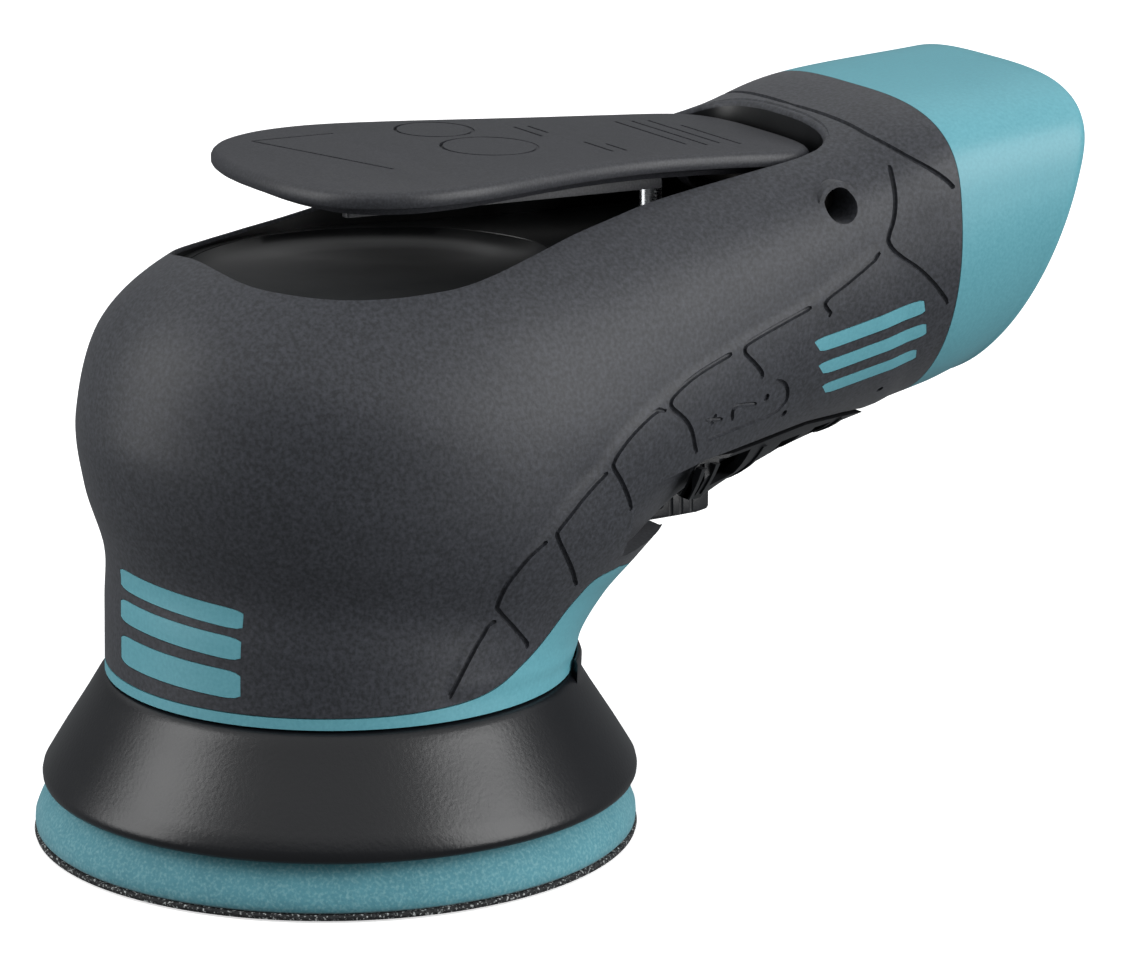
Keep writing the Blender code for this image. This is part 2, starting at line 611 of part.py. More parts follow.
def build_shroud(look):
    """Cone-shaped guard with a collar that grips the head's bore."""
    side = (
        (0.0360, 0.0077), (0.0366, 0.0072), (0.0373, 0.0077), (0.0372, 0.0090), (0.0298, 0.0210),
        (0.0292, 0.0213), (0.0242, 0.0213), (0.0242, 0.0262), (0.0226, 0.0262), (0.0226, 0.0196),
        (0.0285, 0.0196), (0.0357, 0.0086))
    finish("shroud", turned(side, 44), look)


def main():
    clear_scene()
    teal = material("teal plastic", (0.105, 0.275, 0.320), 0.38)
    grip = material("black grip", (0.035, 0.036, 0.040), 0.60)
    dark = material("dark plastic", (0.030, 0.030, 0.033), 0.50)
    shroud_look = material("shroud rubber", (0.018, 0.018, 0.020), 0.42)
    rubber = material("seal rubber", (0.012, 0.012, 0.012), 0.65)
    foam = material("teal foam", (0.110, 0.300, 0.340), 0.85)
    hook = material("hook fabric", (0.030, 0.030, 0.032), 0.90)
    fibre = material("composite", (0.160, 0.110, 0.060), 0.55)
    felt = material("felt", (0.300, 0.290, 0.270), 0.95)
    steel = material("ground steel", (0.560, 0.570, 0.580), 0.28, 1.0)
    aluminium = material("aluminium", (0.640, 0.650, 0.660), 0.34, 1.0)
    brass = material("brass", (0.640, 0.480, 0.220), 0.30, 1.0)
    build_housing(teal)
    build_grip(grip)
    build_exhaust_cover(dark)
    build_muffler(felt, steel)
    build_regulator(dark, rubber)
    build_lever(dark)
    build_lever_pin(steel)
    build_valve(steel, brass, rubber, dark)
    build_motor(aluminium, steel, rubber)
    build_rotor(steel, fibre)
    build_shaft(steel, dark)
    build_spindle(steel, dark)
    build_pad(hook, foam, fibre, steel)
    build_shroud(shroud_look)


main()
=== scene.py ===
import math

import bmesh
import bpy
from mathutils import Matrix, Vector
from mathutils.bvhtree import BVHTree
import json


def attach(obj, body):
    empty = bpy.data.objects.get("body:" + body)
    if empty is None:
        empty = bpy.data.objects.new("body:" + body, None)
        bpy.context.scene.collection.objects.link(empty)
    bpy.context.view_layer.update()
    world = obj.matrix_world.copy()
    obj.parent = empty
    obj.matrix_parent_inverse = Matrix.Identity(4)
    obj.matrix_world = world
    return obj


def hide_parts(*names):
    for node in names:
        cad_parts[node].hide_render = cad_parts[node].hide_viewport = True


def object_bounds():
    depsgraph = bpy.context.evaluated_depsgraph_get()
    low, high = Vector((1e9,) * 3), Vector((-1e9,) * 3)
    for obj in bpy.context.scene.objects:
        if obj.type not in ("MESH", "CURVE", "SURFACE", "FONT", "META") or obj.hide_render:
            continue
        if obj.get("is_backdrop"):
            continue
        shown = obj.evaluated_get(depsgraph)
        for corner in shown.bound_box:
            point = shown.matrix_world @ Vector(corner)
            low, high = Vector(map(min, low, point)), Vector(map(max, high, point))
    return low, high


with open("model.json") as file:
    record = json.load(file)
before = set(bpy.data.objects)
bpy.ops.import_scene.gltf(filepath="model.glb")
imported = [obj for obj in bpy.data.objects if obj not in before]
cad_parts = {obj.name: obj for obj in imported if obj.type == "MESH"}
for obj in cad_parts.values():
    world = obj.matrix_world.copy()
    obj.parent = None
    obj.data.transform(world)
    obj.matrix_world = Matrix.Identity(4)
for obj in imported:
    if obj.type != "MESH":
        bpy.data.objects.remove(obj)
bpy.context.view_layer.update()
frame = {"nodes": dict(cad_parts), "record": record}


# ======================================================================
# Studio
# A plain pale floor under a broad soft light from above, with a tall soft
# box to each side, and the camera low in front of the sander's right side.
# ======================================================================
AIM = Vector((0.01453, 0.02389, 0.04462))
CAMERA_AZIMUTH = math.radians(58.7)
CAMERA_HEIGHT = math.radians(15.05)
CAMERA_DISTANCE = 0.68298

camera = bpy.data.objects.new("studio_camera", bpy.data.cameras.new("studio_camera"))
bpy.context.scene.collection.objects.link(camera)
bpy.context.scene.camera = camera
camera.data.sensor_width = 36.0
camera.data.lens = 176.0
camera.data.clip_end = 20.0
camera.location = AIM + CAMERA_DISTANCE * Vector((
    math.sin(CAMERA_AZIMUTH) * math.cos(CAMERA_HEIGHT),
    -math.cos(CAMERA_AZIMUTH) * math.cos(CAMERA_HEIGHT),
    math.sin(CAMERA_HEIGHT)))
camera.rotation_euler = (AIM - camera.location).to_track_quat("-Z", "Y").to_euler()


def soft_box(name, azimuth, height, distance, width, tall, watts):
    """A soft box that looks at the sander from an azimuth, in degrees."""
    lamp = bpy.data.lights.new(name, "AREA")
    lamp.shape = "RECTANGLE"
    lamp.size = width
    lamp.size_y = tall
    lamp.energy = watts
    box = bpy.data.objects.new(name, lamp)
    bpy.context.scene.collection.objects.link(box)
    turn, rise = math.radians(azimuth), math.radians(height)
    box.location = AIM + distance * Vector((
        math.sin(turn) * math.cos(rise), -math.cos(turn) * math.cos(rise), math.sin(rise)))
    box.rotation_euler = (AIM - box.location).to_track_quat("-Z", "Y").to_euler()
    return box


soft_box("left_soft_box", -22.0, 18.0, 0.95, 0.55, 0.95, 5.6)
soft_box("right_soft_box", 126.0, 14.0, 0.95, 0.70, 0.95, 9.6)

overhead = bpy.data.lights.new("overhead_light", "SUN")
overhead.energy = 1.3
overhead.angle = math.radians(120.0)
overhead_light = bpy.data.objects.new("overhead_light", overhead)
bpy.context.scene.collection.objects.link(overhead_light)

world = bpy.data.worlds.new("studio_air")
world.use_nodes = True
world.node_tree.nodes["Background"].inputs["Color"].default_value = (0.93, 0.97, 1.0, 1.0)
world.node_tree.nodes["Background"].inputs["Strength"].default_value = 0.18
bpy.context.scene.world = world
bpy.context.scene.view_settings.view_transform = "Standard"


def paint(code):
    """An sRGB hex colour as the linear values that a shader takes."""
    shares = [int(code[place:place + 2], 16) / 255.0 for place in (1, 3, 5)]
    linear = [share / 12.92 if share <= 0.04045 else ((share + 0.055) / 1.055) ** 2.4
              for share in shares]
    return (*linear, 1.0)


def add_node(made, kind, inputs=None, **settings):
    """Add a node with its settings; an input takes a value or another node's output."""
    node = made.node_tree.nodes.new(kind)
    for name, value in settings.items():
        setattr(node, name, value)
    for name, value in (inputs or {}).items():
        if isinstance(value, bpy.types.NodeSocket):
            made.node_tree.links.new(value, node.inputs[name])
        else:
            node.inputs[name].default_value = value
    return node


# Matt painted board: nearly white, with the faint mottle of a roller.
floor_paint = bpy.data.materials.new("matt_white_board")
floor_paint.use_nodes = True
shader = floor_paint.node_tree.nodes["Principled BSDF"]
shader.inputs["Roughness"].default_value = 0.9
shader.inputs["Specular IOR Level"].default_value = 0.1
shader.inputs["Emission Color"].default_value = (1.0, 1.0, 1.0, 1.0)
shader.inputs["Emission Strength"].default_value = 0.62
place = add_node(floor_paint, "ShaderNodeTexCoord")
mottle = add_node(floor_paint, "ShaderNodeTexNoise",
                  {"Vector": place.outputs["Object"], "Scale": 1.0 / 0.08, "Detail": 2.0})
tone = add_node(floor_paint, "ShaderNodeMix",
                {0: mottle.outputs["Fac"], 6: paint("#f4f4f4"), 7: paint("#f8f8f8")},
                data_type="RGBA")
floor_paint.node_tree.links.new(tone.outputs[2], shader.inputs["Base Color"])

bpy.ops.object.select_all(action="DESELECT")
bpy.ops.mesh.primitive_plane_add(size=8.0, location=(0.0, 0.0, -0.0002))
floor = bpy.context.object
floor.name = "studio_floor"
floor.data.materials.append(floor_paint)
floor.visible_diffuse = False
floor.visible_glossy = False
floor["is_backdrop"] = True


# ======================================================================
# Housing
# The sander's body: glass-filled nylon, moulded in teal over the motor bore.
# It shows as a ring under the head, behind the grip and in the side inlays.
# ======================================================================
GRIP_WALL = 0.0020
SEAM = 0.00015
BORE_RADIUS = 0.0245
VALVE_Z = 0.0605
PLUNGER_Y = 0.0458
REGULATOR_Y = 0.0385
PIVOT = Vector((0.0, 0.0595, 0.0773))
COVER_SCREW_Y = 0.0690

# The CAD model's section table: inner y, inner z, outer y, outer z, share of
# the height below the widest place, half width, powers of the two halves.
BODY_ROWS = (
    (0.0293, 0.0216, -0.0293, 0.0216, 0.50, 0.0293, 2.0, 2.0),
    (0.0303, 0.0255, -0.0292, 0.0310, 0.50, 0.0292, 2.0, 2.0),
    (0.0340, 0.0300, -0.0293, 0.0380, 0.49, 0.0295, 2.0, 2.0),
    (0.0380, 0.0335, -0.0318, 0.0465, 0.48, 0.0314, 2.0, 2.0),
    (0.0418, 0.0363, -0.0326, 0.0560, 0.48, 0.0326, 2.0, 2.0),
    (0.0465, 0.0386, -0.0287, 0.0675, 0.50, 0.0328, 2.0, 2.0),
    (0.0520, 0.0406, -0.0185, 0.0753, 0.52, 0.0320, 1.9, 2.0),
    (0.0580, 0.0422, 0.0000, 0.0792, 0.55, 0.0298, 2.2, 2.0),
    (0.0645, 0.0436, 0.0220, 0.0810, 0.58, 0.0269, 2.3, 2.0),
    (0.0715, 0.0448, 0.0440, 0.0824, 0.62, 0.0250, 2.5, 2.0),
    (0.0785, 0.0460, 0.0620, 0.0845, 0.66, 0.0243, 2.9, 2.0),
    (0.0835, 0.0470, 0.0760, 0.0875, 0.68, 0.0242, 3.2, 2.0),
    (0.0873, 0.0479, 0.0980, 0.0890, 0.70, 0.0234, 3.2, 1.9),
)

# The side panels stand a little proud below this line, in rows and degrees.
PANEL_RISE = 0.00028
PANEL_TOP = ((0.3, 2.0), (1.0, -0.5), (2.1, -3.0), (3.2, -4.5), (4.0, -9.5), (5.2, -14.5),
             (6.5, -12.0), (7.8, -8.0), (8.8, -5.0), (9.8, 1.0))

# The grip's edge from the side, as (y, z): under the head, then up the rear.
GRIP_EDGE = ((-0.060, 0.0231), (-0.030, 0.0231), (-0.018, 0.0231), (-0.005, 0.0233),
             (0.004, 0.0242), (0.010, 0.0267), (0.014, 0.0292), (0.018, 0.0330),
             (0.021, 0.0356), (0.026, 0.0360))
GRIP_REAR = ((0.045, 0.0310), (0.0800, 0.0310), (0.0755, 0.0950), (-0.060, 0.0950))

SLOT_HALF = (
    (0.0000, -0.0187), (0.0058, -0.0184), (0.0106, -0.0170), (0.0147, -0.0139),
    (0.0182, -0.0096), (0.0208, -0.0042), (0.0222, 0.0010), (0.0227, 0.0053),
    (0.0223, 0.0100), (0.0209, 0.0158), (0.0189, 0.0226), (0.0175, 0.0290),
    (0.0162, 0.0350), (0.0154, 0.0420), (0.0151, 0.0500), (0.0152, 0.0585),
    (0.0141, 0.0623), (0.0112, 0.0642), (0.0058, 0.0651), (0.0000, 0.0653),
)


def eased(points, spacing=0.0008, closed=False):
    """A smooth line through points, with new points about a spacing apart."""
    points = [Vector(point) for point in points]
    count = len(points)
    line = []
    for index in range(count if closed else count - 1):
        if closed:
            before, start, end, after = (points[(index + step) % count] for step in (-1, 0, 1, 2))
        else:
            start, end = points[index], points[index + 1]
            before = points[index - 1] if index else 2.0 * start - end
            after = points[index + 2] if index + 2 < count else 2.0 * end - start
        steps = max(1, round((end - start).length / spacing))
        for step in range(steps):
            part = step / steps
            line.append(0.5 * (2.0 * start + (end - before) * part
                               + (2.0 * before - 5.0 * start + 4.0 * end - after) * part ** 2
                               + (3.0 * start - before - 3.0 * end + after) * part ** 3))
    return line if closed else line + [points[-1]]


def mirrored(half):
    """Close a half outline, whose ends lie on x = 0, across the Y axis."""
    return [Vector(point) for point in half] + [Vector((-x, y)) for x, y in half[-2:0:-1]]


def widened(outline, distance):
    """Each corner of a counter-clockwise outline, moved out by a distance."""
    moved = []
    for index, corner in enumerate(outline):
        along = outline[(index + 1) % len(outline)] - outline[index - 1]
        moved.append(corner + distance * Vector((along.y, -along.x)).normalized())
    return moved


def body_row(place):
    """The section table read at a fractional row, on a smooth line."""
    last = len(BODY_ROWS) - 1
    index = min(int(place), last - 1)
    part = place - index
    rows = [BODY_ROWS[min(max(index + step, 0), last)] for step in (-1, 0, 1, 2)]
    row = []
    for before, start, end, after in zip(*rows):
        if index == 0:
            before = 2.0 * start - end
        if index == last - 1:
            after = 2.0 * end - start
        row.append(0.5 * (2.0 * start + (end - before) * part
                          + (2.0 * before - 5.0 * start + 4.0 * end - after) * part ** 2
                          + (3.0 * start - before - 3.0 * end + after) * part ** 3))
    return row


def panel_rise(place, degrees):
    """How far the side panels stand proud of the skin at a place on it."""
    side = (degrees + 180.0) % 360.0 - 180.0
    if abs(side) > 90.0:
        side = math.copysign(180.0, side) - side
    if not PANEL_TOP[0][0] < place < PANEL_TOP[-1][0]:
        return 0.0
    for (start, low), (end, high) in zip(PANEL_TOP, PANEL_TOP[1:]):
        if start <= place <= end:
            top = low + (high - low) * (place - start) / (end - start)
    share = min(max((top + 2.6 - side) / 2.0, 0.0), 1.0)
    fade = min(1.0, (place - PANEL_TOP[0][0]) / 0.3, (PANEL_TOP[-1][0] - place) / 0.3)
    return PANEL_RISE * share * share * (3.0 - 2.0 * share) * fade


def skin_point(place, degrees, inset=0.0, panels=True):
    """A point on the body's skin: 0 degrees is its right side, 90 its top."""
    inner_y, inner_z, outer_y, outer_z, share, width, upper, lower = body_row(place)
    if panels:
        inset = inset - panel_rise(place, degrees)
    inner = Vector((0.0, inner_y, inner_z))
    rise = Vector((0.0, outer_y, outer_z)) - inner
    cosine, sine = math.cos(math.radians(degrees)), math.sin(math.radians(degrees))
    power = upper if sine >= 0.0 else lower
    reach = rise.length * ((1.0 - share) if sine >= 0.0 else share) - inset
    side = math.copysign(abs(cosine) ** (2.0 / power), cosine) * (width - inset)
    height = math.copysign(abs(sine) ** (2.0 / power), sine) * reach
    return inner + rise * share + rise.normalized() * height + Vector((side, 0.0, 0.0))


def deselect():
    bpy.ops.object.select_all(action="DESELECT")


def drawn_out(name, rings):
    """A filled circle pushed out from ring to ring, as a clay coil is drawn."""
    deselect()
    bpy.ops.mesh.primitive_circle_add(vertices=len(rings[0]), radius=0.01, fill_type="NGON")
    piece = bpy.context.object
    piece.name = piece.data.name = name
    bpy.ops.object.mode_set(mode="EDIT")
    for number, ring in enumerate(rings):
        if number:
            bpy.ops.mesh.extrude_region_move()
        mesh = bmesh.from_edit_mesh(piece.data)
        end = next(face for face in mesh.faces if face.select)
        for vertex, spot in zip(end.verts, ring):
            vertex.co = spot
    bpy.ops.mesh.select_all(action="SELECT")
    bpy.ops.mesh.normals_make_consistent(inside=False)
    bpy.ops.object.mode_set(mode="OBJECT")
    return piece


def spun(name, profile, centre=(0.0, 0.0), steps=96):
    """A closed (radius, height) outline, spun about an upright axis."""
    deselect()
    bpy.ops.mesh.primitive_circle_add(vertices=len(profile), radius=0.01, fill_type="NOTHING")
    piece = bpy.context.object
    piece.name = piece.data.name = name
    for vertex, (radius, height) in zip(piece.data.vertices, profile):
        vertex.co = (centre[0] + radius, centre[1], height)
    bpy.ops.object.mode_set(mode="EDIT")
    bpy.ops.mesh.select_all(action="SELECT")
    bpy.ops.mesh.spin(steps=steps, angle=2.0 * math.pi, center=(*centre, 0.0), axis=(0.0, 0.0, 1.0))
    bpy.ops.mesh.select_all(action="SELECT")
    bpy.ops.mesh.remove_doubles(threshold=1e-6)
    bpy.ops.mesh.delete_loose()
    bpy.ops.mesh.select_all(action="SELECT")
    bpy.ops.mesh.normals_make_consistent(inside=False)
    bpy.ops.object.mode_set(mode="OBJECT")
    return piece


def laid(piece, axis, spot):
    """Lay a piece spun about Z along X or Y, and put its middle at a spot."""
    piece.rotation_euler = {"X": (0.0, math.pi / 2.0, 0.0), "Y": (-math.pi / 2.0, 0.0, 0.0),
                            "Z": (0.0, 0.0, 0.0)}[axis]
    piece.location = spot
    deselect()
    piece.select_set(True)
    bpy.context.view_layer.objects.active = piece
    bpy.ops.object.transform_apply(location=True, rotation=True, scale=True)
    return piece


def rod(name, radius, low, high, axis="Z", spot=(0.0, 0.0, 0.0), steps=48):
    return laid(spun(name, ((0.0, low), (radius, low), (radius, high), (0.0, high)), steps=steps),
                axis, spot)


def slab(name, outline, low=-0.05, high=0.05):
    """A side view outline, as (y, z), pushed out along X."""
    return drawn_out(name, [[Vector((side, y, z)) for y, z in outline] for side in (low, high)])


def plug(name, outline, low, high):
    """A top view outline, as (x, y), pushed up along Z."""
    return drawn_out(name, [[Vector((x, y, level)) for x, y in outline] for level in (low, high)])


def block(name, low, high, round_off=0.0):
    """A block between two corners, with its edges rounded off."""
    outline = ((low[0], low[1]), (high[0], low[1]), (high[0], high[1]), (low[0], high[1]))
    piece = plug(name, outline, low[2], high[2])
    return softened(piece, round_off) if round_off else piece


def applied(piece, kind, **settings):
    """Give a piece a modifier and apply it."""
    modifier = piece.modifiers.new(kind.lower(), kind)
    for name, value in settings.items():
        setattr(modifier, name, value)
    deselect()
    piece.select_set(True)
    bpy.context.view_layer.objects.active = piece
    bpy.ops.object.modifier_apply(modifier=modifier.name)
    return piece


def softened(piece, width, corner=35.0, segments=3):
    """Round the edges that are sharper than a corner, in degrees."""
    return applied(piece, "BEVEL", width=width, segments=segments, limit_method="ANGLE",
                   angle_limit=math.radians(corner))


def carved(piece, tool, operation="DIFFERENCE"):
    """Cut a tool from a piece, or join it or keep what lies inside it."""
    applied(piece, "BOOLEAN", operation=operation, solver="EXACT", object=tool)
    bpy.data.objects.remove(tool)
    return piece


def smoothed(piece, corner=32.0):
    deselect()
    piece.select_set(True)
    bpy.context.view_layer.objects.active = piece
    bpy.ops.object.shade_smooth_by_angle(angle=math.radians(corner))
    return piece


def fitted(piece, body, slot, finish, *nodes):
    """Give a finished piece its material and body, and hide the CAD nodes it stands for; slot is
    not used.
    """
    piece.data.materials.clear()
    piece.data.materials.append(finish)
    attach(piece, body)
    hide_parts(*nodes)
    return piece


def girth(fine):
    """Degrees round the skin, closest where the panels' step runs."""
    if not fine:
        return [step * 3.75 + 1.8 for step in range(96)]
    right = ([-88.5 + 3.0 * step for step in range(21)] + [-26.0 + step for step in range(41)]
             + [16.5 + 2.4 * step for step in range(31)])
    return right + [180.0 - degrees for degrees in reversed(right)]


def body_shape(name, inset=0.0, start=0.0, end=12.0, fine=False, rounded=False):
    """The solid inside the skin, between two rows of the section table."""
    steps = 150 if fine else 48
    rings = []
    for step in range(steps + 1):
        place = start + (end - start) * step / steps
        rings.append([skin_point(place, degrees, inset, panels=fine) for degrees in girth(fine)])
    if rounded:
        inner_y, inner_z, outer_y, outer_z = body_row(end)[:4]
        backward = Vector((0.0, outer_z - inner_z, inner_y - outer_y)).normalized()
        for step in range(1, 8):
            turn = math.radians(90.0 * step / 7.0)
            shrink, forward = 0.0030 * (1.0 - math.cos(turn)), 0.0022 * math.sin(turn)
            rings.append([skin_point(end, degrees, inset + shrink, panels=fine) + backward * forward
                          for degrees in girth(fine)])
    return drawn_out(name, rings)


def grip_region(name, spread):
    """Side view of the grip: the head and handle above its lower edge."""
    edge = eased([Vector(point) for point in GRIP_EDGE], 0.0009)
    outline = edge + [Vector(point) for point in GRIP_REAR]
    return slab(name, widened(outline, spread) if spread else outline)


def slot_outline(spread):
    outline = eased(mirrored(SLOT_HALF), 0.0016, closed=True)
    return widened(outline, spread) if spread else outline


def inlay_bars(name, inset_out, inset_in, spread):
    """Three slanted bars on each side and on the head's front, from skin to core."""
    bars = []
    # Each bar: row and degrees at the middle of each end, and half its width in degrees.
    for number, (first, last, half) in enumerate((
            ((8.62, -17.5), (10.12, -20.5), 2.4), ((8.50, -26.0), (10.12, -29.0), 2.4),
            ((8.40, -34.8), (9.95, -38.0), 2.4),
            ((1.62, 53.0), (1.74, 95.0), 0.0), ((1.08, 53.0), (1.16, 95.0), 0.0),
            ((0.54, 53.0), (0.58, 95.0), 0.0))):
        for mirror in (False, True) if half else (False,):
            rings = []
            for step in range(29):
                share = step / 28.0
                row = first[0] + (last[0] - first[0]) * share
                middle = first[1] + (last[1] - first[1]) * share
                end_room = min(share, 1.0 - share) * 8.0
                squeeze = 1.0
                if end_room < 1.0:
                    squeeze = 0.72 + 0.28 * math.sqrt(1.0 - (1.0 - end_room) ** 2)
                outer, inner = [], []
                for part in range(9):
                    across = (part / 4.0 - 1.0) * squeeze
                    if half:
                        spot = (row, middle + across * (half + spread * 2000.0))
                    else:
                        spot = (row + across * (0.19 + spread * 90.0), middle)
                    degrees = 180.0 - spot[1] if mirror else spot[1]
                    outer.append(skin_point(spot[0], degrees, inset_out))
                    inner.append(skin_point(spot[0], degrees, inset_in))
                rings.append(outer + inner[::-1])
            bars.append(drawn_out(f"{name}_{number}{'_left' if mirror else ''}", rings))
    deselect()
    for bar in bars:
        bar.select_set(True)
    bpy.context.view_layer.objects.active = bars[0]
    bpy.ops.object.join()
    return bars[0]


housing = body_shape("housing_shell", GRIP_WALL + 0.0003, 0.15, 11.7)
ends = body_shape("housing_ends", fine=True, rounded=True)
carved(ends, grip_region("grip_room", SEAM))
carved(housing, ends, "UNION")
carved(housing, rod("motor_bore", BORE_RADIUS, 0.010, 0.0660, steps=96))
pocket = plug("pocket_room", slot_outline(0.0019), 0.05, 0.10)
carved(pocket, slab("pocket_floor", (
    (-0.025, 0.0673), (0.025, 0.0673), (0.040, 0.0699), (0.075, 0.0699), (0.075, 0.11),
    (-0.025, 0.11))), "INTERSECT")
carved(housing, pocket)
carved(housing, laid(spun("valve_chamber", (
    (0.0, 0.0430), (0.0055, 0.0430), (0.0055, 0.0700), (0.0085, 0.0710), (0.0085, 0.1050),
    (0.0, 0.1050)), steps=64), "Y", (0.0, 0.0, VALVE_Z)))
carved(housing, rod("plunger_bore", 0.0033, 0.0617, 0.0760, "Z", (0.0, PLUNGER_Y, 0.0), 24))
carved(housing, rod("air_passage", 0.0028, 0.0200, 0.0440, "Y", (0.0, 0.0, VALVE_Z), 24))
carved(housing, spun("regulator_bore", (
    (0.0, 0.0200), (0.0078, 0.0200), (0.0078, 0.0392), (0.0035, 0.0392), (0.0035, 0.0655),
    (0.0, 0.0655)), (0.0, REGULATOR_Y), 48))
carved(housing, block("exhaust_room", (-0.0080, 0.0515, 0.0315), (0.0080, 0.0675, 0.0515)))
carved(housing, rod("cover_screw_bore", 0.0014, 0.0400, 0.0524, "Z", (0.0, COVER_SCREW_Y, 0.0), 24))
for side in (-0.0450, 0.0160):
    carved(housing, rod("pin_bore", 0.0031, side, side + 0.0290, "X", PIVOT, 32))
carved(housing, rod("pin_bore_inner", 0.0022, -0.0200, 0.0200, "X", PIVOT, 32))
carved(housing, inlay_bars("inlay_bars", 0.00003, 0.0035, 0.0), "UNION")
smoothed(housing)

# Glass-filled nylon, moulded in a fine spark-eroded tool: satin teal whose
# grain breaks its highlights up, with a faint flow mottle in the colour.
teal_nylon = bpy.data.materials.new("teal_moulded_nylon")
teal_nylon.use_nodes = True
shader = teal_nylon.node_tree.nodes["Principled BSDF"]
shader.inputs["IOR"].default_value = 1.50
place = add_node(teal_nylon, "ShaderNodeTexCoord")
flow = add_node(teal_nylon, "ShaderNodeTexNoise",
                {"Vector": place.outputs["Object"], "Scale": 1.0 / 0.012, "Detail": 3.0})
grain = add_node(teal_nylon, "ShaderNodeTexNoise",
                 {"Vector": place.outputs["Object"], "Scale": 1.0 / 0.00045, "Detail": 2.0})
tone = add_node(teal_nylon, "ShaderNodeMix",
                {0: flow.outputs["Fac"], 6: paint("#549aa8"), 7: paint("#61a6b4")},
                data_type="RGBA")
speck = add_node(teal_nylon, "ShaderNodeMix",
                 {0: grain.outputs["Fac"], 6: tone.outputs[2], 7: paint("#74b8c4")},
                 data_type="RGBA", clamp_factor=True)
gloss = add_node(teal_nylon, "ShaderNodeMapRange",
                 {"Value": grain.outputs["Fac"], "To Min": 0.36, "To Max": 0.48})
relief = add_node(teal_nylon, "ShaderNodeBump",
                  {"Height": grain.outputs["Fac"], "Strength": 0.5, "Distance": 0.00003})
teal_nylon.node_tree.links.new(speck.outputs[2], shader.inputs["Base Color"])
teal_nylon.node_tree.links.new(gloss.outputs["Result"], shader.inputs["Roughness"])
teal_nylon.node_tree.links.new(relief.outputs["Normal"], shader.inputs["Normal"])
fitted(housing, "body", "teal_plastic", teal_nylon, "housing")


# ======================================================================
# Grip
# A skin of black thermoplastic rubber, moulded over the housing. It wraps
# the head and handle, lines the lever's pocket and has cut finger panels.
# ======================================================================
CHANNEL_SIDE = (
    (0.0255, 0.0375), (0.0255, 0.0460), (0.0300, 0.0472), (0.0380, 0.0482),
    (0.0580, 0.0487), (0.0660, 0.0480), (0.0720, 0.0471), (0.0740, 0.0450),
    (0.0740, 0.0375),
)

# Panel grooves in rows and degrees: each climbs the side of a panel from its
# lower tip, rounds the corner and follows the panel's top.
GROOVES = (
    ((0.42, 2.5), (1.0, -1.0), (1.6, -2.5), (1.88, -3.0), (1.95, -4.6)),
    ((1.22, -18.4), (1.34, -18.0), (1.54, -14.5), (1.92, -8.0), (2.18, -4.0), (2.32, -3.0),
     (2.76, -3.0), (3.2, -4.5), (3.56, -6.5), (3.8, -8.5)),
    ((2.68, -24.0), (2.9, -21.5), (3.44, -15.5), (3.9, -10.6), (4.06, -10.2), (4.34, -11.5),
     (4.78, -13.5), (5.22, -15.0)),
    ((4.6, -27.5), (4.8, -25.0), (5.1, -20.0), (5.32, -15.6), (5.46, -14.4), (5.74, -13.5),
     (6.2, -12.5), (6.54, -12.0), (6.58, -13.4)),
    ((6.14, -31.0), (6.22, -29.0), (6.48, -23.0), (6.6, -18.5), (6.66, -13.8), (6.76, -11.7),
     (6.92, -10.5), (7.3, -9.0), (7.78, -8.0)),
    ((7.78, -19.5), (7.85, -18.0), (7.88, -13.5), (7.89, -9.8), (7.97, -7.7), (8.1, -7.0),
     (8.46, -6.0), (8.82, -5.0)),
    ((8.92, -10.0), (8.96, -9.0), (8.95, -6.6), (9.02, -4.6), (9.26, -3.0), (9.48, -1.4),
     (9.76, 0.5)),
    ((10.53, -23.5), (10.5, -21.8), (10.18, -10.0), (9.98, -3.5), (9.89, 1.0), (9.92, 3.5),
     (10.04, 8.5), (10.16, 17.5), (10.3, 34.5)),
    ((10.86, 8.0), (10.82, 11.5), (10.54, 33.5), (10.4, 54.5), (10.38, 68.0), (10.36, 90.0)),
)


def skin_normal(spot):
    """The direction straight out of the skin at a row and degrees."""
    along = skin_point(spot[0] + 0.02, spot[1]) - skin_point(spot[0] - 0.02, spot[1])
    across = skin_point(spot[0], spot[1] + 0.5) - skin_point(spot[0], spot[1] - 0.5)
    return across.cross(along).normalized()


def skin_groove(name, spots, half_width, depth, mirror=False):
    """A cutter that follows a line of rows and degrees on the skin."""
    line = eased([(row, degrees / 40.0) for row, degrees in spots], 0.04)
    centres, normals = [], []
    for row, turn in line:
        degrees = 180.0 - turn * 40.0 if mirror else turn * 40.0
        centres.append(skin_point(row, degrees))
        normals.append(skin_normal((row, degrees)))
    rings = []
    for index, (centre, normal) in enumerate(zip(centres, normals)):
        along = centres[min(index + 1, len(centres) - 1)] - centres[max(index - 1, 0)]
        across = normal.cross(along).normalized()
        narrow = 0.55 if index in (0, len(centres) - 1) else 1.0
        rings.append([centre + across * (half_width * narrow * math.cos(turn))
                      + normal * (depth * narrow * math.sin(turn))
                      for turn in (math.radians(36.0 * step + 18.0) for step in range(10))])
    return drawn_out(name, rings)


def tab_sweep():
    """Room behind the regulator for its tab, which swings to both sides."""
    sweep = rod("tab_sweep", 0.0156, 0.0300, 0.0386, "Z", (0.0, REGULATOR_Y, 0.0), 64)
    behind = block("behind_regulator", (-0.0200, REGULATOR_Y - 0.0010, 0.0250),
                   (0.0200, 0.0600, 0.0450))
    return carved(sweep, behind, "INTERSECT")


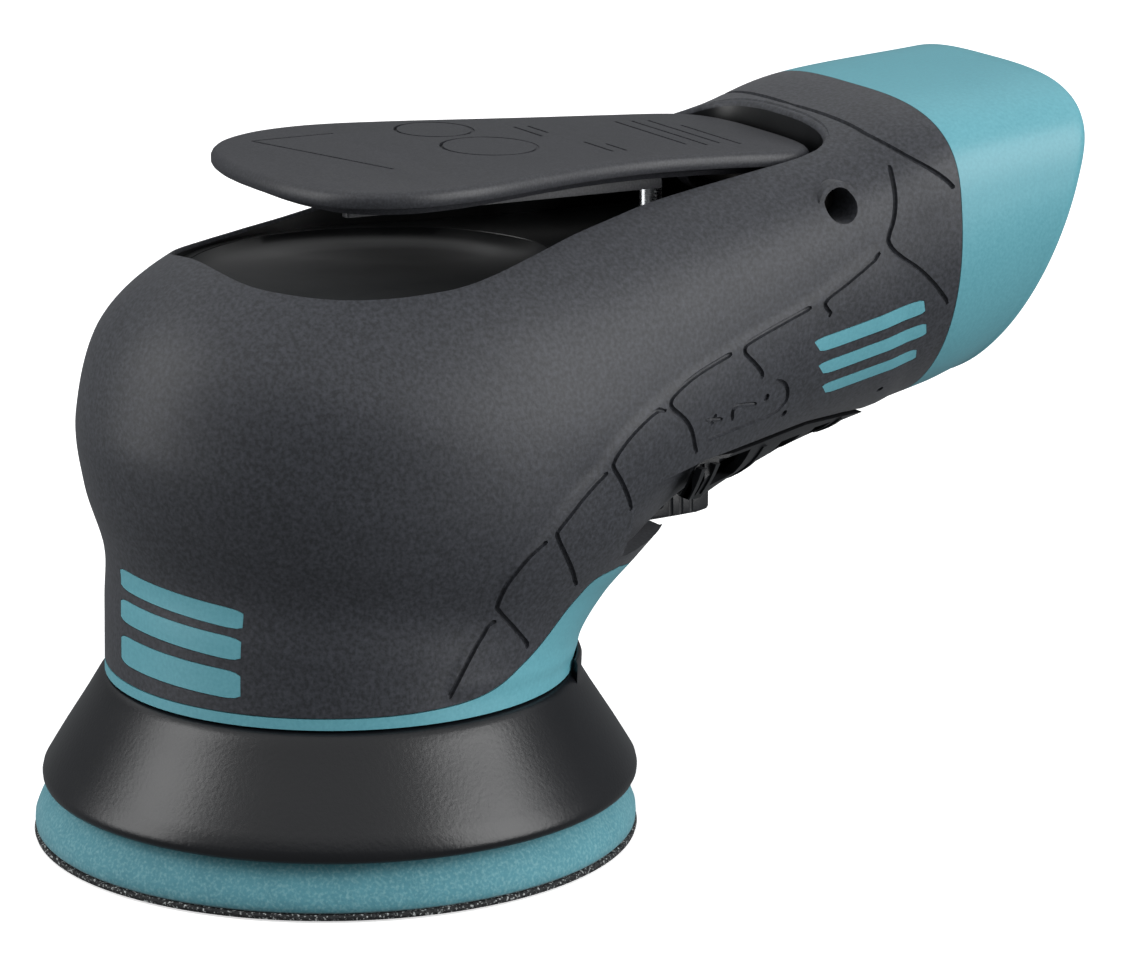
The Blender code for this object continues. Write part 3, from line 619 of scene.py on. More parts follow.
grip = body_shape("grip_skin", fine=True, end=11.9)
skin_above = BVHTree.FromObject(grip, bpy.context.evaluated_depsgraph_get())
carved(grip, grip_region("grip_region", 0.0), "INTERSECT")
carved(grip, body_shape("grip_inside", GRIP_WALL, 0.15, 12.0))
channel = slab("grip_channel", CHANNEL_SIDE)
carved(channel, body_shape("channel_bed", 0.0018, 0.15, 12.0))
carved(grip, channel)
carved(grip, rod("regulator_notch", 0.0080, 0.0200, 0.0410, "Z", (0.0, REGULATOR_Y, 0.0), 48))
carved(grip, tab_sweep())
liner = plug("pocket_liner", slot_outline(0.0016), 0.05, 0.10)
carved(liner, slab("liner_floor", (
    (-0.025, 0.0676), (0.025, 0.0676), (0.040, 0.0702), (0.075, 0.0702), (0.075, 0.11),
    (-0.025, 0.11))), "INTERSECT")
carved(liner, body_shape("liner_bounds", 0.0, 0.0, 11.9), "INTERSECT")
carved(grip, liner, "UNION")

# The pocket's mouth is rounded over, then its walls go straight down.
ROLL = 0.0007
mouth = slot_outline(0.0)
levels = []
for corner in mouth:
    hit = skin_above.ray_cast(Vector((corner.x, corner.y, 0.12)), Vector((0.0, 0.0, -1.0)))
    levels.append(hit[0].z)
pocket_rings = [[Vector((x, y, 0.0718)) for x, y in mouth]]
for step in range(5):
    turn = math.radians(90.0 * step / 4.0)
    spread, drop = ROLL * (1.0 - math.cos(turn)), ROLL * (1.0 - math.sin(turn))
    pocket_rings.append([Vector((x, y, level - drop))
                         for (x, y), level in zip(widened(mouth, spread), levels)])
pocket_rings.append([Vector((x, y, level + 0.0010))
                     for (x, y), level in zip(widened(mouth, ROLL + 0.0008), levels)])
pocket_rings.append([Vector((x, y, 0.105)) for x, y in widened(mouth, ROLL + 0.0010)])
carved(grip, drawn_out("pocket", pocket_rings))
dish = eased([Vector(spot) for spot in (
    (0.0, -0.0176), (0.0115, -0.0148), (0.0188, -0.0066), (0.0213, 0.0035), (0.0190, 0.0140),
    (0.0120, 0.0245), (0.0, 0.0290), (-0.0120, 0.0245), (-0.0190, 0.0140), (-0.0213, 0.0035),
    (-0.0188, -0.0066), (-0.0115, -0.0148))], 0.0016, closed=True)
heart = Vector((0.0, 0.0060))
carved(grip, drawn_out("pocket_dish", [
    [Vector((*(heart + (spot - heart) * scale), level)) for spot in dish]
    for scale, level in ((1.01, 0.0725), (1.00, 0.0717), (0.96, 0.0709), (0.90, 0.0703),
                         (0.80, 0.0698), (0.65, 0.0694), (0.45, 0.0692))]))
for side in (-0.0222, 0.0165):
    carved(grip, rod("pin_lining", 0.0029, side, side + 0.0057, "X", PIVOT, 40), "UNION")
carved(grip, rod("pin_hole", 0.0022, -0.04, 0.04, "X", PIVOT, 40))
carved(grip, rod("plunger_hole", 0.0018, 0.0640, 0.0760, "Z", (0.0, PLUNGER_Y, 0.0), 24))
for mirror in (False, True):
    for number, spots in enumerate(GROOVES):
        carved(grip, skin_groove(f"groove_{number}", spots, 0.00036, 0.00055, mirror))

# A plus, a wedge and the edge of their recess mark which way the regulator turns.
REGULATOR_MARK = (
    ((6.72, -25.2), (6.94, -22.8)), ((6.75, -22.6), (6.92, -25.6)),
    ((6.98, -28.2), (7.20, -24.2), (7.46, -27.0)),
    ((6.46, -29.2), (6.96, -32.0), (7.48, -34.3), (7.78, -32.4), (7.92, -29.0), (7.98, -25.0),
     (7.92, -22.2)),
)
for mirror in (False, True):
    for number, spots in enumerate(REGULATOR_MARK):
        carved(grip, skin_groove(f"mark_{number}", spots, 0.00034, 0.00050, mirror))
    for row, degrees in ((7.64, -26.6), (7.66, -37.0), (9.32, -49.0)):
        degrees = 180.0 - degrees if mirror else degrees
        centre, out = skin_point(row, degrees), skin_normal((row, degrees))
        across = out.orthogonal().normalized()
        beside = out.cross(across)
        carved(grip, drawn_out("dimple", [
            [centre + out * depth + (across * math.cos(turn) + beside * math.sin(turn)) * radius
             for turn in (math.radians(30.0 * step) for step in range(12))]
            for depth, radius in ((-0.0005, 0.0003), (-0.0003, 0.0005), (0.0004, 0.0006))]))
carved(grip, inlay_bars("inlay_windows", -0.0010, 0.0032, 0.00012))
smoothed(grip)

# Thermoplastic rubber over the nylon: charcoal black with a matt, slightly
# bloomed skin, fine tool grain and smooth rubbed patches where a hand holds it.
grip_rubber = bpy.data.materials.new("black_thermoplastic_rubber")
grip_rubber.use_nodes = True
shader = grip_rubber.node_tree.nodes["Principled BSDF"]
shader.inputs["IOR"].default_value = 1.48
shader.inputs["Sheen Weight"].default_value = 0.08
shader.inputs["Sheen Roughness"].default_value = 0.5
place = add_node(grip_rubber, "ShaderNodeTexCoord")
bloom = add_node(grip_rubber, "ShaderNodeTexNoise",
                 {"Vector": place.outputs["Object"], "Scale": 1.0 / 0.018, "Detail": 4.0})
grain = add_node(grip_rubber, "ShaderNodeTexNoise",
                 {"Vector": place.outputs["Object"], "Scale": 1.0 / 0.00050, "Detail": 3.0})
tone = add_node(grip_rubber, "ShaderNodeMix",
                {0: bloom.outputs["Fac"], 6: paint("#232529"), 7: paint("#2a2c31")},
                data_type="RGBA")
speck = add_node(grip_rubber, "ShaderNodeMapRange",
                 {"Value": grain.outputs["Fac"], "From Min": 0.35, "From Max": 0.75})
shade = add_node(grip_rubber, "ShaderNodeMix",
                 {0: speck.outputs["Result"], 6: tone.outputs[2], 7: paint("#42444b")},
                 data_type="RGBA")
rubbed = add_node(grip_rubber, "ShaderNodeMapRange",
                  {"Value": bloom.outputs["Fac"], "To Min": 0.46, "To Max": 0.60})
relief = add_node(grip_rubber, "ShaderNodeBump",
                  {"Height": grain.outputs["Fac"], "Strength": 0.6, "Distance": 0.00004})
grip_rubber.node_tree.links.new(shade.outputs[2], shader.inputs["Base Color"])
grip_rubber.node_tree.links.new(rubbed.outputs["Result"], shader.inputs["Roughness"])
grip_rubber.node_tree.links.new(relief.outputs["Normal"], shader.inputs["Normal"])
fitted(grip, "body", "black_grip", grip_rubber, "grip_overmold")


def grained(name, kind, texture, low, high, rough=None, relief=None, **settings):
    """A material whose colour, roughness and relief all follow one texture."""
    made = bpy.data.materials.new(name)
    made.use_nodes = True
    shader = made.node_tree.nodes["Principled BSDF"]
    place = add_node(made, "ShaderNodeTexCoord")
    pattern = add_node(made, kind, {"Vector": place.outputs["Object"], **texture}, **settings)
    level = pattern.outputs["Distance" if kind == "ShaderNodeTexVoronoi" else "Fac"]
    tone = add_node(made, "ShaderNodeMix", {0: level, 6: paint(low), 7: paint(high)},
                    data_type="RGBA")
    made.node_tree.links.new(tone.outputs[2], shader.inputs["Base Color"])
    if rough:
        gloss = add_node(made, "ShaderNodeMapRange",
                         {"Value": level, "To Min": rough[0], "To Max": rough[1]})
        made.node_tree.links.new(gloss.outputs["Result"], shader.inputs["Roughness"])
    if relief:
        bump = add_node(made, "ShaderNodeBump",
                        {"Height": level, "Strength": relief[0], "Distance": relief[1]})
        made.node_tree.links.new(bump.outputs["Normal"], shader.inputs["Normal"])
    return made, shader


# The same rubber moulded against polished steel, which lines the lever's pocket: glossier, and
# coloured blacker as painted shade in the recess, with faint cloudy swirls where dust is wiped.
pocket_rubber_with_painted_shade = grained(
    "smooth_rubber_painted_shade", "ShaderNodeTexNoise",
    {"Scale": 1.0 / 0.011, "Detail": 5.0, "Distortion": 0.8}, "#08090a", "#121315", (0.24, 0.42))[0]
grip.data.materials.append(pocket_rubber_with_painted_shade)
# Faces inside the pocket's outline and below the skin take the blacker rubber, which is painted
# shade in the recess.
edge = slot_outline(0.0003)
for face in grip.data.polygons:
    middle = face.center
    crossings = 0
    for corner, after in zip(edge, edge[1:] + edge[:1]):
        if (corner.y > middle.y) != (after.y > middle.y):
            share = (middle.y - corner.y) / (after.y - corner.y)
            crossings += corner.x + share * (after.x - corner.x) > middle.x
    above = skin_above.ray_cast(Vector((middle.x, middle.y, 0.12)), Vector((0.0, 0.0, -1.0)))[0]
    if crossings % 2 and middle.z > 0.0660 and above and above.z - middle.z > 0.0008:
        face.material_index = 1


# ======================================================================
# Exhaust cover and silencer
# A ribbed cover of black nylon snaps into the channel under the handle and
# is held by one screw. Pressed felt behind it quietens the exhaust air.
# ======================================================================
COVER_SIDE = (
    (0.0372, 0.0424), (0.0372, 0.0474), (0.0380, 0.0477), (0.0490, 0.0478), (0.0580, 0.0482),
    (0.0655, 0.0475), (0.0714, 0.0466), (0.0733, 0.0446), (0.0733, 0.0379), (0.0455, 0.0379),
    (0.0411, 0.0424),
)
# Windows in the cover's sides: front and rear y, low and high z.
COVER_WINDOWS = ((0.0384, 0.0391, 0.0420, 0.0470), (0.0412, 0.0472, 0.0432, 0.0473),
                 (0.0545, 0.0587, 0.0434, 0.0464), (0.0612, 0.0646, 0.0452, 0.0468))

COVER_DROP = (0.0, 0.0002, -0.0011)     # it stands proud of the handle's underside

cover = body_shape("exhaust_cover_shell", 0.0003, 3.0, 11.9)
laid(cover, "Z", COVER_DROP)
carved(cover, slab("cover_region", COVER_SIDE, -0.0235, 0.0235), "INTERSECT")
carved(cover, laid(body_shape("cover_inside", 0.0017, 2.7, 12.0), "Z", COVER_DROP))
for number, (front, rear, bottom, top) in enumerate(COVER_WINDOWS):
    carved(cover, block(f"cover_window_{number}", (-0.03, front, bottom), (0.03, rear, top)))
carved(cover, block("regulator_gap", (-0.0086, 0.0300, 0.0300), (0.0086, 0.0552, 0.0440)))
carved(cover, rod("cover_screw_hole", 0.0021, 0.0400, 0.0500, "Z", (0.0, COVER_SCREW_Y, 0.0), 24))
carved(cover, tab_sweep())
for number, front in enumerate((0.0372, 0.0400, 0.0498, 0.0656)):
    rib = laid(body_shape(f"cover_rib_{number}", 0.0, 3.0, 11.9), "Z", COVER_DROP)
    bottom = 0.0424 if front < 0.0440 else 0.0380
    carved(rib, block("rib_room", (-0.0300, front, bottom), (0.0300, front + 0.0008, 0.0470)),
           "INTERSECT")
    carved(rib, laid(body_shape("rib_inside", 0.0012, 2.7, 12.0), "Z", COVER_DROP))
    carved(rib, block("rib_gap", (-0.0088, 0.0300, 0.0300), (0.0088, 0.0800, 0.0440)))
    carved(cover, rib, "UNION")
for side in (-0.0100, 0.0088):
    rail = slab("cover_rail", ((0.0412, 0.0400), (0.0470, 0.0402), (0.0535, 0.0417),
                               (0.0535, 0.0443), (0.0412, 0.0443)), side, side + 0.0012)
    carved(cover, rail, "UNION")
smoothed(cover)

# Black nylon from a bead-blasted tool: low sheen and an even fine grain.
cover_nylon = grained(
    "black_moulded_nylon", "ShaderNodeTexNoise", {"Scale": 1.0 / 0.00035, "Detail": 2.0},
    "#1a1b1d", "#2b2c2f", (0.36, 0.55), (0.5, 0.00003))[0]
fitted(cover, "body", "dark_plastic", cover_nylon, "exhaust_cover")

# Pressed wool felt: a tangle of grey fibres about 0.3 mm apart.
wool_felt, shader = grained(
    "pressed_wool_felt", "ShaderNodeTexNoise",
    {"Scale": 1.0 / 0.0003, "Detail": 6.0, "Distortion": 2.5}, "#8a8880", "#c9c6bc",
    relief=(1.0, 0.0002))
shader.inputs["Roughness"].default_value = 0.95
shader.inputs["Sheen Weight"].default_value = 0.25

# Ground, hardened steel: bright, with fine scratches round its turned faces.
ground_steel = bpy.data.materials.new("ground_steel")
ground_steel.use_nodes = True
shader = ground_steel.node_tree.nodes["Principled BSDF"]
shader.inputs["Metallic"].default_value = 1.0
place = add_node(ground_steel, "ShaderNodeTexCoord")
lengthened = add_node(ground_steel, "ShaderNodeMapping", {"Vector": place.outputs["Object"],
                                                          "Scale": (0.15, 0.15, 1.0)})
scratch = add_node(ground_steel, "ShaderNodeTexNoise",
                   {"Vector": lengthened.outputs["Vector"], "Scale": 1.0 / 0.0002, "Detail": 4.0})
tone = add_node(ground_steel, "ShaderNodeMix",
                {0: scratch.outputs["Fac"], 6: paint("#b4b7ba"), 7: paint("#d6d8da")},
                data_type="RGBA")
gloss = add_node(ground_steel, "ShaderNodeMapRange",
                 {"Value": scratch.outputs["Fac"], "To Min": 0.18, "To Max": 0.36})
relief = add_node(ground_steel, "ShaderNodeBump",
                  {"Height": scratch.outputs["Fac"], "Strength": 0.4, "Distance": 0.00001})
ground_steel.node_tree.links.new(tone.outputs[2], shader.inputs["Base Color"])
ground_steel.node_tree.links.new(gloss.outputs["Result"], shader.inputs["Roughness"])
ground_steel.node_tree.links.new(relief.outputs["Normal"], shader.inputs["Normal"])

screw = spun("cover_screw_turned", (
    (0.0, 0.0441), (0.0013, 0.0441), (0.0017, 0.0443), (0.0018, 0.0447), (0.0018, 0.0458),
    (0.0011, 0.0458), (0.0011, 0.0518), (0.0008, 0.0520), (0.0, 0.0520)), (0.0, COVER_SCREW_Y), 48)
carved(screw, rod("screw_socket", 0.0009, 0.0436, 0.0451, "Z", (0.0, COVER_SCREW_Y, 0.0), 6))
smoothed(screw)
fitted(screw, "body", "steel", ground_steel, "cover_screw")


# ======================================================================
# Speed regulator
# A ported nylon spool with a finger tab under the handle. Its two O-rings
# hold it in its bore, and turning the tab throttles the air.
# ======================================================================
regulator = spun("regulator_spool", (
    (0.0, 0.0350), (0.0060, 0.0350), (0.0066, 0.0353), (0.0068, 0.0359), (0.0068, 0.0388),
    (0.0031, 0.0388), (0.0031, 0.0450), (0.0022, 0.0450), (0.0022, 0.0472), (0.0031, 0.0472),
    (0.0031, 0.0535), (0.0022, 0.0535), (0.0022, 0.0557), (0.0031, 0.0557), (0.0031, 0.0650),
    (0.0, 0.0650)), (0.0, REGULATOR_Y), 64)
tab_half = ((0.0045, 0.0), (0.0044, 0.0080), (0.0042, 0.0120), (0.0034, 0.0142), (0.0018, 0.0149))
tab_outline = [(x, REGULATOR_Y + y) for x, y in tab_half]
tab_outline += [(-x, y) for x, y in reversed(tab_outline)]
tab = softened(plug("regulator_tab", tab_outline, 0.0345, 0.0384), 0.0005)
for number in range(4):
    level = REGULATOR_Y + 0.0078 + 0.0016 * number
    for side in (-1.0, 1.0):
        carved(tab, rod("tab_groove", 0.0004, 0.0330, 0.0400, "Z", (side * 0.0045, level, 0.0), 12))
dimple_spot = (0.0, REGULATOR_Y + 0.0060, 0.0366)
for low, high in ((-0.0100, -0.0036), (0.0036, 0.0100)):
    carved(tab, rod("tab_dimple", 0.0008, low, high, "X", dimple_spot, 20))
carved(regulator, tab, "UNION")
carved(regulator, rod("regulator_port", 0.0020, -0.0100, 0.0100, "Y",
                      (0.0, REGULATOR_Y, VALVE_Z), 24))
smoothed(regulator)
fitted(regulator, "regulator", "dark_plastic", cover_nylon, "speed_regulator")


# ======================================================================
# Throttle lever
# A broad plate of glass-filled nylon that the palm presses. Two ears hang on
# a steel pin across the handle, and a pad under it pushes the plunger.
# ======================================================================
LEVER_TOP = (0.08543, 0.0048, -0.81)      # height, slope and bend of the top along y
LEVER_HALF = (
    (0.0000, -0.0117), (0.0040, -0.0116), (0.0088, -0.0110), (0.0148, -0.0092),
    (0.0190, -0.0057), (0.0215, -0.0006), (0.0221, 0.0052), (0.0214, 0.0110),
    (0.0193, 0.0190), (0.0170, 0.0280), (0.0154, 0.0370), (0.0147, 0.0470),
    (0.0146, 0.0560), (0.0136, 0.0600), (0.0110, 0.0625), (0.0060, 0.0638),
    (0.0000, 0.0640),
)


def lever_top(y, drop=0.0):
    """Height of the lever's arched top above a place along it."""
    height, slope, bend = LEVER_TOP
    return height + slope * y + bend * y * y - drop


lever_outline = eased(mirrored(LEVER_HALF), 0.0009, closed=True)
lever = drawn_out("lever_plate", [
    [Vector((x, y, lever_top(y, drop))) for x, y in widened(lever_outline, spread)]
    for spread, drop in ((-0.0036, 0.0034), (-0.0030, 0.0033), (-0.0026, 0.0026),
                         (-0.0009, 0.0022), (-0.0002, 0.0020), (0.0, 0.0016), (0.0, 0.0008),
                         (-0.0002, 0.0004), (-0.0005, 0.00015), (-0.0010, 0.0))])
# The flat ends are cut into strips across the plate, so that they follow its arch.
bpy.ops.object.mode_set(mode="EDIT")
for step in range(38):
    bpy.ops.mesh.select_all(action="SELECT")
    bpy.ops.mesh.bisect(plane_co=(0.0, -0.0105 + 0.0020 * step, 0.0), plane_no=(0.0, 1.0, 0.0))
bpy.ops.object.mode_set(mode="OBJECT")
y, z = PIVOT.y, PIVOT.z
ear = [(y + 0.0036 * math.cos(math.radians(turn)), z + 0.0036 * math.sin(math.radians(turn)))
       for turn in range(-180, 1, 9)]
ear += [(y + 0.0036, lever_top(y, 0.0025)), (y - 0.0062, lever_top(y, 0.0023))]
for side in (-0.0108, 0.0078):
    carved(lever, softened(slab("lever_ear", ear, side, side + 0.0030), 0.0003), "UNION")
carved(lever, block("push_pad", (-0.0045, PLUNGER_Y - 0.0030, lever_top(PLUNGER_Y, 0.0046)),
                    (0.0045, PLUNGER_Y + 0.0030, lever_top(PLUNGER_Y, 0.0020)), 0.0003), "UNION")
for side in (-0.0105, 0.0090):
    rib = block("stiffening_rib", (side, -0.0040, 0.0788), (side + 0.0015, 0.0410, 0.0822), 0.0003)
    carved(rib, slab("rib_trim", [
        (-0.0060, lever_top(0.0, 0.0048)), (0.0430, lever_top(0.0430, 0.0048)),
        (0.0430, 0.0900), (-0.0060, 0.0900)]), "INTERSECT")
    carved(lever, rib, "UNION")
carved(lever, rod("ear_bore", 0.0022, -0.03, 0.03, "X", PIVOT, 40))

# Shallow moulded marks in the plate's top: two rings, a long V and short ribs.
marks = []
for number, (x, y, radius) in enumerate(((1.3e-3, 21.3e-3, 6.0e-3), (-11.2e-3, 20.6e-3, 4.9e-3))):
    level = lever_top(y)
    marks.append(spun(f"ring_{number}", (
        (radius - 0.00022, level - 0.00030), (radius + 0.00022, level - 0.00030),
        (radius + 0.00022, level + 0.0010), (radius - 0.00022, level + 0.0010)), (x, y), 72))
for first, last in (((-15.6, -3.0), (8.4, 3.6)), ((-15.6, -3.0), (-14.6, 8.0)),
                    ((-9.0, 31.0), (-2.0, 31.0)), ((-9.0, 33.0), (-4.0, 33.0)),
                    ((3.0, 34.0), (10.0, 34.0)), ((5.0, 36.0), (10.0, 36.0)),
                    ((-9.0, 46.0), (8.0, 46.0)), ((-9.0, 48.5), (9.0, 48.5)),
                    ((-9.0, 51.0), (8.0, 51.0)), ((-5.0, 53.5), (9.0, 53.5))):
    start, stop = Vector(first) * 1e-3, Vector(last) * 1e-3
    along = (stop - start).normalized()
    across = Vector((-along.y, along.x)) * 0.00022
    corners = (start - across, stop - across, stop + across, start + across)
    marks.append(drawn_out("mark", [
        [Vector((*corner, lever_top(corner.y) + rise)) for corner in corners]
        for rise in (-0.00030, 0.0010)]))
for mark in marks:
    carved(lever, mark)
smoothed(lever)

# Glass-filled nylon in charcoal: matt and finely sparked, with broad random patches a little
# lighter and glossier where palms and tool boxes have polished it.
lever_nylon = bpy.data.materials.new("charcoal_moulded_nylon")
lever_nylon.use_nodes = True
shader = lever_nylon.node_tree.nodes["Principled BSDF"]
place = add_node(lever_nylon, "ShaderNodeTexCoord")
wear = add_node(lever_nylon, "ShaderNodeTexNoise",
                {"Vector": place.outputs["Object"], "Scale": 1.0 / 0.009, "Detail": 5.0})
grain = add_node(lever_nylon, "ShaderNodeTexNoise",
                 {"Vector": place.outputs["Object"], "Scale": 1.0 / 0.0003, "Detail": 3.0})
tone = add_node(lever_nylon, "ShaderNodeMix",
                {0: wear.outputs["Fac"], 6: paint("#28292c"), 7: paint("#313237")},
                data_type="RGBA")
speck = add_node(lever_nylon, "ShaderNodeMapRange",
                 {"Value": grain.outputs["Fac"], "From Min": 0.4, "From Max": 0.8})
shade = add_node(lever_nylon, "ShaderNodeMix",
                 {0: speck.outputs["Result"], 6: tone.outputs[2], 7: paint("#44454a")},
                 data_type="RGBA")
gloss = add_node(lever_nylon, "ShaderNodeMapRange",
                 {"Value": wear.outputs["Fac"], "To Min": 0.38, "To Max": 0.56})
relief = add_node(lever_nylon, "ShaderNodeBump",
                  {"Height": grain.outputs["Fac"], "Strength": 0.6, "Distance": 0.00003})
lever_nylon.node_tree.links.new(shade.outputs[2], shader.inputs["Base Color"])
lever_nylon.node_tree.links.new(gloss.outputs["Result"], shader.inputs["Roughness"])
lever_nylon.node_tree.links.new(relief.outputs["Normal"], shader.inputs["Normal"])
fitted(lever, "lever", "dark_plastic", lever_nylon, "throttle_lever")

pin = laid(spun("lever_pin_ground", (
    (0.0, -0.0185), (0.0015, -0.0185), (0.0018, -0.0184), (0.0019, -0.0181), (0.0019, 0.0181),
    (0.0018, 0.0184), (0.0015, 0.0185), (0.0, 0.0185)), steps=48), "X", PIVOT)
smoothed(pin)


# ======================================================================
# Throttle valve and air inlet
# A polished plunger tips a brass valve off its rubber seat. Air comes in
# through a threaded steel bushing and a fine screen at the handle's end.
# ======================================================================
plunger = spun("plunger_polished", (
    (0.0, 0.0628), (0.0011, 0.0628), (0.00145, 0.0631), (0.00145, 0.0783), (0.0013, 0.0787),
    (0.0009, 0.0789), (0.0, 0.0789)), (0.0, PLUNGER_Y), 48)
smoothed(plunger)
fitted(plunger, "plunger", "steel", ground_steel, "plunger")

bushing_profile = [(0.0082, 0.0803), (0.0082, 0.0954), (0.0078, 0.0960), (0.0070, 0.0960),
                   (0.0066, 0.0955)]
for turn in range(14):
    bushing_profile += [(0.0058, 0.0951 - 0.0009 * turn), (0.0063, 0.09465 - 0.0009 * turn)]
bushing_profile += [(0.0058, 0.0820), (0.0058, 0.0803)]
bushing = laid(spun("inlet_bushing_threaded", bushing_profile, steps=72), "Y", (0.0, 0.0, VALVE_Z))
smoothed(bushing, 25.0)
fitted(bushing, "body", "steel", ground_steel, "inlet_bushing")

# Black-oxide steel: a thin conversion skin over machined steel, nearly black,
# with a brown cast and a dull metal gleam.
oxide_steel, shader = grained(
    "black_oxide_steel", "ShaderNodeTexNoise", {"Scale": 1.0 / 0.0008, "Detail": 4.0},
    "#3a3836", "#5a5856", (0.30, 0.50), (0.4, 0.00002))
shader.inputs["Metallic"].default_value = 0.9
fitted(pin, "body", "dark_steel", oxide_steel, "lever_pin")

# Turned brass: warm yellow, with tool rings and slight tarnish between them.
turned_brass, shader = grained(
    "turned_brass", "ShaderNodeTexNoise", {"Scale": 1.0 / 0.0006, "Detail": 4.0},
    "#b08a45", "#dcc07a", (0.20, 0.42))
shader.inputs["Metallic"].default_value = 1.0

# Nitrile rubber seals: matt black with a faint moulded mottle.
nitrile = grained("nitrile_rubber", "ShaderNodeTexNoise", {"Scale": 1.0 / 0.0005, "Detail": 3.0},
                  "#121212", "#1e1e1f", (0.5, 0.7))[0]


# ======================================================================
# Air motor
# A five-vane rotor runs in an eccentric steel cylinder between two aluminium
# end plates. The shaft below it is balanced and carries the pad's spindle.
# ======================================================================
# Turned aluminium: pale grey with fine tool rings.
turned_aluminium, shader = grained(
    "turned_aluminium", "ShaderNodeTexWave",
    {"Scale": 1.0 / 0.0012, "Distortion": 0.6, "Detail": 2.0}, "#c2c4c6", "#dcdee0",
    (0.24, 0.40), (0.3, 0.00002), wave_type="RINGS", rings_direction="Z")
shader.inputs["Metallic"].default_value = 1.0

# Cotton-phenolic laminate for the vanes and the pad's plate: brown resin with
# a cloth weave about 0.5 mm across showing through.
cotton_phenolic = grained(
    "cotton_phenolic_laminate", "ShaderNodeTexVoronoi", {"Scale": 1.0 / 0.0005, "Randomness": 0.35},
    "#6a4a2a", "#8f6c42", (0.42, 0.62))[0]

finish_of_slot = {
    "teal_plastic": teal_nylon, "black_grip": grip_rubber, "dark_plastic": cover_nylon,
    "seal_rubber": nitrile, "felt": wool_felt, "composite": cotton_phenolic,
    "steel": ground_steel, "dark_steel": oxide_steel, "aluminium": turned_aluminium,
    "brass": turned_brass,
}
for entry in frame["record"]["subparts"]:
    node = frame["nodes"][entry["node"]]
    if entry["material_slot"] in finish_of_slot:
        for number in range(max(1, len(node.material_slots))):
            if not node.material_slots:
                node.data.materials.append(None)
            node.material_slots[number].material = finish_of_slot[entry["material_slot"]]


# ======================================================================
# Guard
# A cone of black rubber whose collar grips the head's bore. It hangs over
# the pad, keeps dust from the bearings and brakes the pad when it idles.
# ======================================================================
guard = spun("guard_cone", (
    (0.0357, 0.0086), (0.0360, 0.0077), (0.0363, 0.0073), (0.0367, 0.0072), (0.0371, 0.0074),
    (0.0373, 0.0078), (0.03735, 0.0083), (0.0372, 0.0090), (0.0362, 0.0107), (0.0348, 0.0130),
    (0.0334, 0.0152), (0.0320, 0.0174), (0.0308, 0.0194), (0.0302, 0.0204), (0.0298, 0.0209),
    (0.0293, 0.0212), (0.0288, 0.0213), (0.0242, 0.0213), (0.0242, 0.0262), (0.0226, 0.0262),
    (0.0226, 0.0196), (0.0285, 0.0196)), steps=160)
lip = spun("guard_lip", (
    (0.0290, 0.0200), (0.0303, 0.0200), (0.0304, 0.0226), (0.0302, 0.0231), (0.0299, 0.0232),
    (0.0297, 0.0229), (0.0296, 0.0210)), steps=160)
carved(lip, block("lip_room", (-0.0300, 0.0225, 0.0150), (0.0300, 0.0400, 0.0300)), "INTERSECT")
carved(guard, softened(lip, 0.0003), "UNION")
smoothed(guard, 40.0)

# Chloroprene rubber, moulded: black with a semi-gloss skin, a fine pebble of
# about 0.5 mm that breaks its highlights up, and faint rub marks.
chloroprene = bpy.data.materials.new("moulded_chloroprene_rubber")
chloroprene.use_nodes = True
shader = chloroprene.node_tree.nodes["Principled BSDF"]
shader.inputs["IOR"].default_value = 1.52
place = add_node(chloroprene, "ShaderNodeTexCoord")
pebble = add_node(chloroprene, "ShaderNodeTexNoise",
                  {"Vector": place.outputs["Object"], "Scale": 1.0 / 0.00055, "Detail": 3.0})
rub = add_node(chloroprene, "ShaderNodeTexNoise",
               {"Vector": place.outputs["Object"], "Scale": 1.0 / 0.010, "Detail": 4.0})
tone = add_node(chloroprene, "ShaderNodeMix",
                {0: rub.outputs["Fac"], 6: paint("#0d0e11"), 7: paint("#15161a")},
                data_type="RGBA")
gloss = add_node(chloroprene, "ShaderNodeMapRange",
                 {"Value": rub.outputs["Fac"], "To Min": 0.26, "To Max": 0.38})
relief = add_node(chloroprene, "ShaderNodeBump",
                  {"Height": pebble.outputs["Fac"], "Strength": 0.7, "Distance": 0.00004})
chloroprene.node_tree.links.new(tone.outputs[2], shader.inputs["Base Color"])
chloroprene.node_tree.links.new(gloss.outputs["Result"], shader.inputs["Roughness"])
chloroprene.node_tree.links.new(relief.outputs["Normal"], shader.inputs["Normal"])
fitted(guard, "body", "guard_rubber", chloroprene, "shroud")


# ======================================================================
# Pad
# A disc of teal polyurethane foam on a stiff plate. Its face is a black
# hook fabric that holds the sanding discs, trimmed flush with the foam.
# ======================================================================
PAD_CENTRE = (-0.0012, 0.0)
foam = spun("pad_foam_moulded", (
    (0.0, 0.0009), (0.0375, 0.0009), (0.0378, 0.0012), (0.03785, 0.0018), (0.0378, 0.0025),
    (0.0375, 0.0033), (0.0372, 0.0040), (0.0367, 0.0048), (0.0362, 0.0056), (0.0356, 0.0063),
    (0.0350, 0.0070), (0.0343, 0.0077), (0.0335, 0.0083), (0.0328, 0.0086), (0.0320, 0.0088),
    (0.0200, 0.0088), (0.0, 0.0088)), PAD_CENTRE, 180)
smoothed(foam, 50.0)

